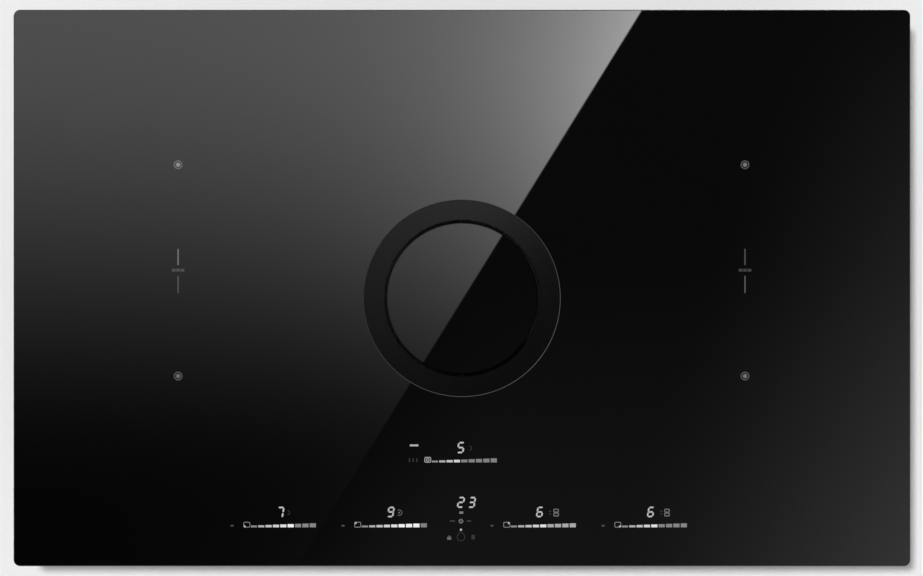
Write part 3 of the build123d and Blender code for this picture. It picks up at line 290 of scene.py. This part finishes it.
def circuit_board():
    """Green solder resist over copper tracks, with tinned pads."""
    finish = Finish("circuit_board_finish")
    track = finish.node(
        "TexBrick",
        {"Vector": finish.place, "Scale": 60.0, "Mortar Size": 0.035, "Color1": (1, 1, 1, 1),
         "Color2": (1, 1, 1, 1), "Mortar": (0, 0, 0, 1)},
    ).outputs["Fac"]
    resist = finish.mix(track, (0.010, 0.085, 0.035), (0.022, 0.140, 0.060))
    pad = finish.math("LESS_THAN", finish.cells(0.0065), 0.13)
    finish.color(finish.mix(pad, resist, (0.62, 0.62, 0.60)))
    finish.roughness(finish.level(finish.noise(0.01), 0.25, 0.38))
    finish.bump(finish.add(track, pad), 0.00004, 0.6)
    return finish.material


def lit_and_painted_glow_finish(name, strength):
    """Emission on the glass: light that comes up through the printed glass at the display windows, and a
    painted glow on the unlit print, a little uneven over each window.
    """
    finish = Finish(name)
    finish.color((0.02, 0.02, 0.02))
    finish.roughness(0.3)
    finish.shader.inputs["Emission Color"].default_value = (1.0, 1.0, 1.0, 1.0)
    uneven = finish.level(finish.noise(0.0022, 2.0), 0.94 * strength, 1.06 * strength)
    finish.set_input(finish.shader.inputs["Emission Strength"], uneven)
    return finish.material


def screw_steel():
    """Bright zinc-plated screws."""
    finish = Finish("screw_steel_finish", metallic=1.0)
    finish.color(finish.mix(finish.noise(0.002), (0.52, 0.53, 0.55), (0.68, 0.69, 0.70)))
    finish.roughness(finish.level(finish.noise(0.0015), 0.24, 0.36))
    finish.bump(finish.noise(0.0006), 0.00002, 0.5)
    return finish.material


FINISHES = {
    "black_glass": black_glass(),
    "satin_black_metal": satin_black_metal(),
    "black_plastic": moulded("black_plastic_finish", (0.014, 0.014, 0.015), (0.020, 0.020, 0.021)),
    "grey_plastic": moulded("grey_plastic_finish", (0.30, 0.31, 0.32), (0.36, 0.37, 0.38)),
    "component_black": moulded(
        "component_black_finish", (0.010, 0.010, 0.011), (0.017, 0.017, 0.018), 0.35, 0.5),
    "zinc_steel": zinc_steel(),
    # stainless: a dull dark grey, well below bare steel, so the filter reads dark down the flap's gap:
    # painted shade of the deep well
    "stainless": brushed(
        "stainless_painted_shade_finish", (0.25, 0.25, 0.25), (0.36, 0.358, 0.355), 0.50, 0.64, (40.0, 40.0, 1.0)),
    "aluminium_sheet": brushed("aluminium_sheet_finish", (0.70, 0.71, 0.72), (0.80, 0.81, 0.82), 0.30, 0.44),
    "aluminium_extruded": brushed(
        "aluminium_extruded_finish", (0.62, 0.63, 0.64), (0.76, 0.77, 0.78), 0.28, 0.42, (40.0, 1.0, 40.0)),
    "silicone_black": rubber("silicone_black_finish", (0.010, 0.010, 0.011), (0.018, 0.018, 0.019)),
    "silicone_grey": rubber("silicone_grey_finish", (0.20, 0.20, 0.21), (0.27, 0.27, 0.28)),
    "pad_rubber": rubber("pad_rubber_finish", (0.16, 0.16, 0.17), (0.22, 0.22, 0.23)),
    "foam": foam(),
    "copper_litz": copper_litz(),
    "ferrite": ferrite(),
    "mica": mica(),
    "circuit_board": circuit_board(),
    "screw_steel": screw_steel(),
    "motor_steel": brushed(
        "motor_steel_finish", (0.44, 0.45, 0.46), (0.56, 0.57, 0.58), 0.32, 0.46, (1.0, 1.0, 30.0)),
}


def dress_frame():
    """Gives every carried-over CAD node the finish of its slot."""
    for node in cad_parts.values():
        for slot in node.material_slots:
            slot.material = FINISHES[slot.material.name]
    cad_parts["flap_glass"].material_slots[0].material = black_glass("flap_glass_finish", 0.46)
    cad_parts["flap_pins"].material_slots[0].material = FINISHES["satin_black_metal"]


# ================================================================ how a mark is made
MARK_HEIGHT = 0.00006
LEAST_ROUND = 0.0001


def add_mark(name, build, light):
    """One glowing piece on the glass, lit display and print alike, from a function that fills a bmesh."""
    mesh = bpy.data.meshes.new(name)
    piece = bpy.data.objects.new(name, mesh)
    bpy.context.scene.collection.objects.link(piece)
    bm = bmesh.new()
    build(bm)
    bmesh.ops.recalc_face_normals(bm, faces=bm.faces)
    bm.to_mesh(mesh)
    bm.free()
    mesh.materials.append(lit_and_painted_glow_finish(name + "_light", light))
    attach(piece, "hob")


def prism(bm, outline):
    """Closed, straight-sided solid on the glass."""
    low, high = [[bm.verts.new((x, y, z)) for x, y in outline] for z in (glass_top, glass_top + MARK_HEIGHT)]
    bm.faces.new(low[::-1])
    bm.faces.new(high)
    for i in range(len(outline)):
        j = (i + 1) % len(outline)
        bm.faces.new((low[i], low[j], high[j], high[i]))


def loop(bm, outer, inner):
    """Closed flat ring between two outlines of as many points."""
    rings = []
    for z in (glass_top, glass_top + MARK_HEIGHT):
        for outline in (outer, inner):
            rings.append([bm.verts.new((x, y, z)) for x, y in outline])
    low_outer, low_inner, high_outer, high_inner = rings
    around = (low_inner, low_outer, high_outer, high_inner, low_inner)
    for i in range(len(outer)):
        j = (i + 1) % len(outer)
        for a, b in zip(around, around[1:]):
            bm.faces.new((a[i], a[j], b[j], b[i]))


def arc_points(centre, radius, start, end, steps):
    """Points from one angle to another, in radians."""
    angles = [start + (end - start) * i / steps for i in range(steps + 1)]
    return [(centre[0] + radius * cos(angle), centre[1] + radius * sin(angle)) for angle in angles]


def circle_points(centre, radius, sides):
    return arc_points(centre, radius, 0.0, 2 * pi, sides)[:-1]


def rounded_outline(centre, half_w, half_d, radius, steps=4):
    """Corner points of a rounded rectangle, counter-clockwise."""
    points = []
    for quarter, (sx, sy) in enumerate(((1, 1), (-1, 1), (-1, -1), (1, -1))):
        corner = (centre[0] + sx * (half_w - radius), centre[1] + sy * (half_d - radius))
        points += arc_points(corner, radius, pi / 2 * quarter, pi / 2 * (quarter + 1), steps)
    return points


def drop_outline(centre, radius, tip):
    """Round outline with a pointed top."""
    return [(centre[0], centre[1] + tip)] + arc_points(centre, radius, radians(140), radians(400), 20)


def rectangle(bm, left, right, front, back):
    prism(bm, [(left, front), (right, front), (right, back), (left, back)])


def patch(bm, centre, half_w, half_d):
    """Rectangle round a centre."""
    rectangle(bm, centre[0] - half_w, centre[0] + half_w, centre[1] - half_d, centre[1] + half_d)


def dot(bm, centre, radius, sides=20):
    prism(bm, circle_points(centre, radius, sides))


def ring_mark(bm, centre, outer_r, inner_r, sides=24):
    loop(bm, circle_points(centre, outer_r, sides), circle_points(centre, inner_r, sides))


def frame_mark(bm, centre, half_w, half_d, radius, line):
    """Rounded frame whose line lies inside the half sizes."""
    outer = rounded_outline(centre, half_w, half_d, radius)
    inner = rounded_outline(centre, half_w - line, half_d - line, max(radius - line, LEAST_ROUND))
    loop(bm, outer, inner)


def arc_mark(bm, centre, radius, line, start, end):
    """Curved stroke between two angles in degrees, with square ends."""
    far = arc_points(centre, radius + line / 2, radians(start), radians(end), 14)
    near = arc_points(centre, radius - line / 2, radians(start), radians(end), 14)
    prism(bm, far + near[::-1])


# ================================================================ sliders
ZONE_SLIDER_Y = -0.2215
HOOD_SLIDER_Y = -0.1614
# left end and front edge, number of lit segments, corner of the icon with the zone's dot, painted glow of the
# unlit rest
Slider = namedtuple("Slider", "left front lit corner rest_light")
SLIDERS = (
    Slider(-0.2026, ZONE_SLIDER_Y, 6, (-1, -1), 0.21),
    Slider(-0.0999, ZONE_SLIDER_Y, 8, (-1, 1), 0.19),
    Slider(0.0380, ZONE_SLIDER_Y, 5, (1, 1), 0.37),
    Slider(0.1408, ZONE_SLIDER_Y, 5, (1, -1), 0.20),
    Slider(-0.0351, HOOD_SLIDER_Y, 4, None, 0.19),
)
ZONE_SLIDERS = SLIDERS[:-1]
HOOD_SLIDER = SLIDERS[-1]
# light of the lit segments from the slider's left end on
LIT_LIGHT = (0.24, 0.40, 0.51, 0.61, 0.72, 0.86, 0.86, 0.86)

SEGMENTS = 9
SEGMENT_PITCH = 0.00682
SEGMENT_W = 0.00565
SEGMENT_LOW = 0.0016
SEGMENT_HIGH = 0.0037
# from the slider's left end to its first segment, where the icon stands
ICON_SPACE = 0.0069
ICON_GAP = 0.0003
ICON_LIFT = 0.0024
# half width, half depth, corner radius
ICON = (0.0031, 0.0026, 0.0012)
ZONE_ICON_LINE = 0.0006
HOOD_ICON_LINE = 0.0007
HOOD_ICON_RING = (0.0016, 0.0008)
ICON_DOT_REACH = (0.0020, 0.0016)
ICON_DOT_R = 0.0010


def segment_boxes(slider, places):
    """Left, right, front and back of the segments at those places. They get deeper to the right."""
    for place in places:
        left = slider.left + ICON_SPACE + ICON_GAP + place * SEGMENT_PITCH
        depth = SEGMENT_LOW + (SEGMENT_HIGH - SEGMENT_LOW) * place / (SEGMENTS - 1)
        yield left, left + SEGMENT_W, slider.front, slider.front + depth


def build_boxes(bm, boxes):
    for box in boxes:
        rectangle(bm, *box)


def add_sliders():
    """One piece for the lit segments at each place, and one for each slider's unlit rest, which is print
    given a painted glow.
    """
    for place, light in enumerate(LIT_LIGHT):
        boxes = [box for slider in SLIDERS if place < slider.lit for box in segment_boxes(slider, [place])]
        add_mark(f"slider_lit_{place + 1}", lambda bm: build_boxes(bm, boxes), light)
    for number, slider in enumerate(SLIDERS, 1):
        # the unlit segments are print, drawn glowing at a level set for each slider: painted light
        rest = segment_boxes(slider, range(slider.lit, SEGMENTS))
        add_mark(f"slider_unlit_{number}", lambda bm: build_boxes(bm, rest), slider.rest_light)


def icon_centre(slider):
    return slider.left + ICON_SPACE / 2, slider.front + ICON_LIFT


def build_zone_icons(bm):
    """Small rounded square beside each zone's slider."""
    for slider in ZONE_SLIDERS:
        frame_mark(bm, icon_centre(slider), *ICON, ZONE_ICON_LINE)


def build_zone_icon_dots(bm):
    """Dot at the icon's corner that stands for the slider's zone."""
    for slider in ZONE_SLIDERS:
        x, y = icon_centre(slider)
        spot = (x + slider.corner[0] * ICON_DOT_REACH[0], y + slider.corner[1] * ICON_DOT_REACH[1])
        dot(bm, spot, ICON_DOT_R)


def build_hood_icon(bm):
    """Rounded square with a ring in it, beside the hood's slider."""
    frame_mark(bm, icon_centre(HOOD_SLIDER), *ICON, HOOD_ICON_LINE)
    ring_mark(bm, icon_centre(HOOD_SLIDER), *HOOD_ICON_RING)


# ================================================================ digits
# digit, centre and height
DIGITS = (
    ("7", -0.1682, -0.2078, 0.0106),
    ("9", -0.0658, -0.2073, 0.0096),
    ("6", 0.0721, -0.2073, 0.0096),
    ("6", 0.1748, -0.2073, 0.0096),
    ("5", -0.0010, -0.1477, 0.0103),
    ("2", -0.0009, -0.1984, 0.0100),
    ("3", 0.0093, -0.1984, 0.0100),
)
# lit strokes of each digit: a is the top, b to f follow clockwise, g is the middle
STROKES = {"2": "abged", "3": "abgcd", "5": "afgcd", "6": "afgedc", "7": "abc", "9": "abcdfg"}
# shares of the digit's height
DIGIT_HALF_W = 0.245
DIGIT_HALF_LINE = 0.072
DIGIT_INSET = 0.06
# share of half the stroke's line
STROKE_GAP = 0.35
DIGIT_SLANT = 0.17


def stroke_outline(p, q, half, base):
    """Bar with pointed ends from p to q, leaning with the digit."""
    p, q = Vector(p), Vector(q)
    along = (q - p).normalized() * half
    across = Vector((-along.y, along.x))
    corners = (p, p + along - across, q - along - across, q, q - along + across, p + along + across)
    return [(c.x + DIGIT_SLANT * (c.y - base), c.y) for c in corners]


def digit(bm, character, centre_x, centre_y, height):
    """Slanted seven-segment digit."""
    half_w = DIGIT_HALF_W * height
    half_h = height / 2 - DIGIT_INSET * height
    half_line = DIGIT_HALF_LINE * height
    left, right = centre_x - half_w, centre_x + half_w
    low, high = centre_y - half_h, centre_y + half_h
    gap = half_line * STROKE_GAP
    ends = {
        "a": ((left + gap, high), (right - gap, high)),
        "b": ((right, centre_y + gap), (right, high - gap)),
        "c": ((right, low + gap), (right, centre_y - gap)),
        "d": ((left + gap, low), (right - gap, low)),
        "e": ((left, low + gap), (left, centre_y - gap)),
        "f": ((left, centre_y + gap), (left, high - gap)),
        "g": ((left + gap, centre_y), (right - gap, centre_y)),
    }
    for name in STROKES[character]:
        prism(bm, stroke_outline(*ends[name], half_line, centre_y))


def build_digits(bm):
    for row in DIGITS:
        digit(bm, *row)


# ================================================================ keys and small marks
THIN_LINE = 0.0006

# middle column, from the back to the front
TIMER_DASH = (-0.0006, -0.2079)
TIMER_DASH_HALF = (0.0018, 0.0010)
TOUCH_RING = (-0.0009, -0.2158)
TOUCH_RING_R = (0.0022, 0.0008)
TOUCH_DASHES_X = ((-0.0111, -0.0064), (0.0046, 0.0084))
TOUCH_DASHES_Y = (-0.2161, -0.2153)
POWER_DOT = (-0.0009, -0.2237)
POWER_DOT_R = 0.0011
POWER_DROP = (-0.0009, -0.2306)
# radius and height of the tip
DROP_OUTSIDE = (0.0038, 0.0058)
DROP_INSIDE = (0.0032, 0.0049)

# to its left and right
LOCK = (-0.0118, -0.2318)
LOCK_BODY = (0.0019, 0.0012, 0.0004)
SHACKLE_LIFT = 0.0012
SHACKLE_R = 0.0011
RIGHT_KEY = (0.0104, -0.2306)
RIGHT_KEY_BODY = (0.0016, 0.0021, 0.0008)

# beside the digits
BESIDE_DIGITS_Y = -0.2079
OPEN_ARC_X = -0.0582
OPEN_ARC_R = 0.0026
OPEN_ARC_DOT_R = 0.0008
OPEN_ARC_SPAN = (-120, 120)
FAINT_ARCS = ((-0.1612, BESIDE_DIGITS_Y), (0.0072, -0.1483))
FAINT_ARC_R = 0.0018
FAINT_ARC_SPAN = (-100, 100)
LOOPS_X = (0.0872, 0.1898)
LOOPS_LIFT = 0.0018
LOOP_BODY = (0.0026, 0.0018, 0.0011)
LOOP_LINE = 0.0010
SHORT_DASHES_X = (0.0816, 0.1843)
SHORT_DASHES_LIFT = 0.0012
SHORT_DASH_HALF = (0.0010, 0.0004)

# beside the sliders
HOOD_DASH = (-0.0482, -0.0404, -0.1465, -0.1448)
HOOD_STROKES_X = (-0.0486, -0.0452, -0.0418)
HOOD_STROKES_Y = -0.1594
HOOD_STROKE_HALF = (0.0005, 0.0018)
SLIDER_DASH_X = (-0.0115, -0.0087)
SLIDER_DASH_Y = (0.0008, 0.0022)


def build_timer_marks(bm):
    """Dash under the timer's digits."""
    patch(bm, TIMER_DASH, *TIMER_DASH_HALF)


def build_bright_marks(bm):
    """Dash above the hood's slider, and the dot over the drop-shaped key."""
    rectangle(bm, *HOOD_DASH)
    dot(bm, POWER_DOT, POWER_DOT_R)


def build_faint_marks(bm):
    """Drop-shaped key, the key to its right, and the dimmest marks beside digits and the hood's slider."""
    loop(bm, drop_outline(POWER_DROP, *DROP_OUTSIDE), drop_outline(POWER_DROP, *DROP_INSIDE))
    prism(bm, rounded_outline(RIGHT_KEY, *RIGHT_KEY_BODY))
    for centre in FAINT_ARCS:
        arc_mark(bm, centre, FAINT_ARC_R, THIN_LINE, *FAINT_ARC_SPAN)
    for x in SHORT_DASHES_X:
        for lift in (-SHORT_DASHES_LIFT, SHORT_DASHES_LIFT):
            patch(bm, (x, BESIDE_DIGITS_Y + lift), *SHORT_DASH_HALF)
    for x in HOOD_STROKES_X:
        patch(bm, (x, HOOD_STROKES_Y), *HOOD_STROKE_HALF)


def build_key_marks(bm):
    """Short dashes to the left of each zone's slider and on both sides of the touch ring."""
    for ends in TOUCH_DASHES_X:
        rectangle(bm, *ends, *TOUCH_DASHES_Y)
    for slider in ZONE_SLIDERS:
        ends = [slider.left + x for x in SLIDER_DASH_X]
        sides = [slider.front + y for y in SLIDER_DASH_Y]
        rectangle(bm, *ends, *sides)


def build_dim_marks(bm):
    """Lock, touch ring, and beside the digits: a dot in an open arc, and pairs of small loops."""
    prism(bm, rounded_outline(LOCK, *LOCK_BODY))
    arc_mark(bm, (LOCK[0], LOCK[1] + SHACKLE_LIFT), SHACKLE_R, THIN_LINE, 0, 180)
    ring_mark(bm, TOUCH_RING, *TOUCH_RING_R)
    dot(bm, (OPEN_ARC_X, BESIDE_DIGITS_Y), OPEN_ARC_DOT_R)
    arc_mark(bm, (OPEN_ARC_X, BESIDE_DIGITS_Y), OPEN_ARC_R, THIN_LINE, *OPEN_ARC_SPAN)
    for x in LOOPS_X:
        for lift in (-LOOPS_LIFT, LOOPS_LIFT):
            frame_mark(bm, (x, BESIDE_DIGITS_Y + lift), *LOOP_BODY, LOOP_LINE)


def add_small_marks():
    """Digits, icons and touch marks, each with its emission: the zone icons and the dim, key and faint marks
    are print drawn with a painted glow.
    """
    add_mark("display_digits", build_digits, 0.49)
    add_mark("zone_icons", build_zone_icons, 0.20)
    add_mark("zone_icon_dots", build_zone_icon_dots, 0.48)
    add_mark("hood_icon", build_hood_icon, 0.34)
    add_mark("touch_marks_bright", build_bright_marks, 0.42)
    add_mark("timer_marks", build_timer_marks, 0.18)
    # these three are print, drawn with a painted glow
    add_mark("touch_marks_dim", build_dim_marks, 0.11)
    add_mark("key_marks", build_key_marks, 0.050)
    add_mark("touch_marks_faint", build_faint_marks, 0.012)


# ================================================================ cooking zones
ZONE_DOT_R = 0.0020
ZONE_RING_R = (0.0041, 0.0029)
ZONE_RING_SIDES = 32
# middle of the zones of each row, and half width, front and back of its part of the bridge line
ZONE_ROWS = (
    ("rear", 0.1141, 0.0007, 0.0212, 0.0362),
    ("front", -0.0815, 0.0006, -0.0046, 0.0112),
)
BRIDGE_DASHES = 3
BRIDGE_DASH_PITCH = 0.0041
BRIDGE_DASH_HALF = (0.0017, 0.0013)
BRIDGE_DASHES_Y = 0.0165
# middle of each side's zones, painted glow of its printed dots, rings and lines, rear and front, and of its
# dashes, a level of its own at each place
ZoneSide = namedtuple("ZoneSide", "name x dots rings lines dashes")
ZONE_SIDES = (
    ZoneSide("left", -0.2627, (0.20, 0.11), (0.070, 0.045), (0.095, 0.040), 0.030),
    ZoneSide("right", 0.2620, (0.14, 0.13), (0.040, 0.045), (0.035, 0.065), 0.024),
)


def build_bridge_dashes(bm, x):
    """Short row of plain dashes between the bridge lines."""
    for i in range(BRIDGE_DASHES):
        centre = x + (i - (BRIDGE_DASHES - 1) / 2) * BRIDGE_DASH_PITCH
        patch(bm, (centre, BRIDGE_DASHES_Y), *BRIDGE_DASH_HALF)


def add_zone_marks():
    """Dot and ring over the middle of each zone, and the bridge line between two zones: print drawn with a
    painted glow.
    """
    for side in ZONE_SIDES:
        for number, (row, y, half, front, back) in enumerate(ZONE_ROWS):
            place = f"{side.name}_{row}"
            centre = (side.x, y)
            add_mark(f"zone_dot_{place}", lambda bm: dot(bm, centre, ZONE_DOT_R), side.dots[number])
            add_mark(
                f"zone_ring_{place}", lambda bm: ring_mark(bm, centre, *ZONE_RING_R, ZONE_RING_SIDES),
                side.rings[number])
            add_mark(
                f"bridge_line_{place}", lambda bm: rectangle(bm, side.x - half, side.x + half, front, back),
                side.lines[number])
        add_mark(f"bridge_dashes_{side.name}", lambda bm: build_bridge_dashes(bm, side.x), side.dashes)


# ================================================================ what the glass mirrors
CARD_HEIGHT = 0.5
CARD_SIZE = (1.6, 1.2)
GLASS_REFLECTANCE = 0.04
WHITE = (1, 1, 1, 1)

# edge between the bright and the dark side: a point at the back, what it moves to the right for each metre
# to the back, and how far it is blurred
EDGE_BACK = (0.1661, 0.2568)
EDGE_LEAN = 0.620
EDGE_SOFT = 0.0008

# Levels are parts of white as seen on the glass, and spans are places on the glass along Y.
# bright side: a level that rises to the back as the power of a sine
BRIGHT_LEAST = 0.0010
BRIGHT_RISE = 0.0755
BRIGHT_SPAN = (-0.2765, 0.285)
BRIGHT_POWER = 4.1
# a glow along the edge, stronger to the back
GLOW_REACH = 0.0995
GLOW_GAIN = 3.70
GLOW_SPAN = (-0.26, 0.26)
# dark side: a lighter front right corner, right of a line that leans as it goes back
DARK_LEAST = 0.0024
CORNER_GAIN = 0.228
CORNER_POWER = 1.7
CORNER_START = 0.21
CORNER_LEAN = 0.32
CORNER_SPAN = (-0.253, 0.267)
# haze at the front, on the bright side near the edge and on the dark side away from it
HAZE_SPAN = (-0.25, 0.02)
BRIGHT_HAZE = 0.0022
BRIGHT_HAZE_REACH = 0.080
DARK_HAZE = 0.0037
DARK_HAZE_REACH = 0.095


def bright_side(card, y, inside, haze):
    """Mirrored window: brightest at the back and along its edge."""
    back = card.level(y, 0.0, pi / 2, *BRIGHT_SPAN)
    rise = card.math("POWER", card.math("SINE", back), BRIGHT_POWER)
    base = card.add(card.multiply(rise, BRIGHT_RISE), BRIGHT_LEAST)
    glow = card.math("EXPONENT", card.math("DIVIDE", inside, -GLOW_REACH))
    gain = card.level(y, 0.0, GLOW_GAIN, *GLOW_SPAN)
    fade = card.math("EXPONENT", card.math("DIVIDE", inside, -BRIGHT_HAZE_REACH))
    glowing = card.multiply(base, card.add(1.0, card.multiply(gain, glow)))
    return card.add(glowing, card.multiply(haze, fade, BRIGHT_HAZE))


def dark_side(card, x, y, inside, haze):
    """Mirrored wall: almost black, and lighter towards the front right corner."""
    front = card.math("SQRT", card.level(y, 1.0, 0.0, *CORNER_SPAN))
    start = card.add(CORNER_START, card.multiply(CORNER_LEAN, y))
    right = card.math("POWER", card.math("MAXIMUM", card.math("SUBTRACT", x, start), 0.0), CORNER_POWER)
    rise = card.level(inside, 1.0, 0.0, -DARK_HAZE_REACH, 0.0)
    corner = card.multiply(front, right, CORNER_GAIN)
    return card.add(DARK_LEAST, corner, card.multiply(haze, rise, DARK_HAZE))


def card_material():
    """Soft box and dark side above the glass: the window and the wall that the glass mirrors."""
    material = bpy.data.materials.new("reflection_card")
    material.use_nodes = True
    material.node_tree.nodes.clear()
    card = Nodes(material.node_tree)
    place = card.node("SeparateXYZ", {"Vector": card.node("TexCoord").outputs["Object"]}).outputs
    shrink = 1 + CARD_HEIGHT / CAMERA_HEIGHT
    x = card.math("DIVIDE", place["X"], shrink)
    y = card.math("DIVIDE", place["Y"], shrink)
    edge = card.add(EDGE_BACK[0], card.multiply(EDGE_LEAN, card.math("SUBTRACT", y, EDGE_BACK[1])))
    inside = card.math("SUBTRACT", edge, x)
    haze = card.level(y, 1.0, 0.0, *HAZE_SPAN)
    side = card.level(inside, 0.0, 1.0, -EDGE_SOFT, EDGE_SOFT)
    bright = card.multiply(side, bright_side(card, y, inside, haze))
    dark = card.multiply(card.math("SUBTRACT", 1.0, side), dark_side(card, x, y, inside, haze))
    strength = card.math("DIVIDE", card.add(bright, dark), GLASS_REFLECTANCE)
    emission = card.node("Emission", {"Color": WHITE, "Strength": strength})
    card.node("OutputMaterial", {"Surface": emission.outputs[0]})
    return material


def add_card():
    """Only mirrored by the object: neither the camera nor the diffuse light sees it."""
    bpy.ops.mesh.primitive_plane_add(size=1.0, location=(0, 0, glass_top + CARD_HEIGHT))
    card = bpy.context.object
    card.data.transform(Matrix.Diagonal((*CARD_SIZE, 1.0, 1.0)))
    card.name = "reflection_card"
    card.data.materials.append(card_material())
    for ray in ("camera", "diffuse", "transmission", "volume_scatter", "shadow"):
        setattr(card, "visible_" + ray, False)


# ================================================================ floor, light and camera
FLOOR_SIZE = 80.0


def floor_material():
    """Pale matt studio floor, open from below."""
    floor = Finish("studio_floor")
    floor.color(floor.mix(floor.noise(0.9, 2.0), (0.812, 0.812, 0.812), (0.822, 0.822, 0.822)))
    floor.roughness(0.9)
    floor.shader.inputs["Specular IOR Level"].default_value = 0.0
    below = floor.node("NewGeometry").outputs["Backfacing"]
    clear = floor.node("BsdfTransparent").outputs[0]
    surface = floor.node("MixShader", {0: below, 1: floor.shader.outputs[0], 2: clear}).outputs[0]
    floor.set_input(floor.tree.nodes["Material Output"].inputs["Surface"], surface)
    return floor.material


def add_floor():
    bpy.ops.mesh.primitive_plane_add(size=FLOOR_SIZE, location=(0, 0, floor_z))
    floor = bpy.context.object
    floor.name = "studio_floor"
    floor.data.materials.append(floor_material())


SUN_STRENGTH = 0.64
# degrees: blur of its shadow, and tilt to the left and to the back
SUN_SPREAD = 2.3
SUN_TILT_LEFT = 4.0
SUN_TILT_BACK = 3.15

AMBIENT = 0.60
BACKDROP = 0.93
# direction in which the mirrored world is brighter, and its level from the far to the near side
BRIGHT_DIRECTION = (0.62, -0.62, 0.25)
MIRRORED_LEVEL = (0.12, 0.95)
MIRRORED_SPAN = (-0.7, 0.9)


def add_sun():
    """Soft light from almost straight above, a little from the back left."""
    light = bpy.data.lights.new("studio_sun", "SUN")
    light.energy = SUN_STRENGTH * pi
    light.angle = radians(SUN_SPREAD)
    sun = bpy.data.objects.new("studio_sun", light)
    towards = Vector((-tan(radians(SUN_TILT_LEFT)), tan(radians(SUN_TILT_BACK)), 1.0))
    sun.rotation_euler = towards.to_track_quat("Z", "Y").to_euler()
    sun.visible_glossy = False
    bpy.context.scene.collection.objects.link(sun)


def add_world():
    """Pale to the eye, even for light, and brighter front right for what the metal mirrors."""
    world = bpy.data.worlds.new("studio")
    bpy.context.scene.world = world
    world.use_nodes = True
    world.node_tree.nodes.clear()
    sky = Nodes(world.node_tree)
    direction = sky.node("TexCoord").outputs["Generated"]
    lean = sky.node("VectorMath", {0: direction, 1: BRIGHT_DIRECTION}, operation="DOT_PRODUCT")
    mirrored = sky.level(lean.outputs["Value"], *MIRRORED_LEVEL, *MIRRORED_SPAN)
    path = sky.node("LightPath").outputs
    unseen = sky.blend(path["Is Glossy Ray"], AMBIENT, mirrored)
    strength = sky.blend(path["Is Camera Ray"], unseen, BACKDROP)
    background = sky.node("Background", {"Strength": strength})
    sky.node("OutputWorld", {"Surface": background.outputs[0]})


def add_camera():
    """Straight above the middle of the glass, from far away."""
    data = bpy.data.cameras.new("photo_camera")
    data.sensor_width = SENSOR * 1000
    data.lens = SENSOR * 1000 * CAMERA_HEIGHT / VIEW_WIDTH
    data.clip_start, data.clip_end = CAMERA_CLIP
    camera = bpy.data.objects.new("photo_camera", data)
    camera.location = (*VIEW_CENTRE, glass_top + CAMERA_HEIGHT)
    bpy.context.scene.collection.objects.link(camera)
    bpy.context.scene.camera = camera


dress_frame()
add_sliders()
add_small_marks()
add_zone_marks()
add_floor()
add_card()
add_sun()
add_world()
add_camera()
bpy.context.scene.view_settings.view_transform = "Standard"
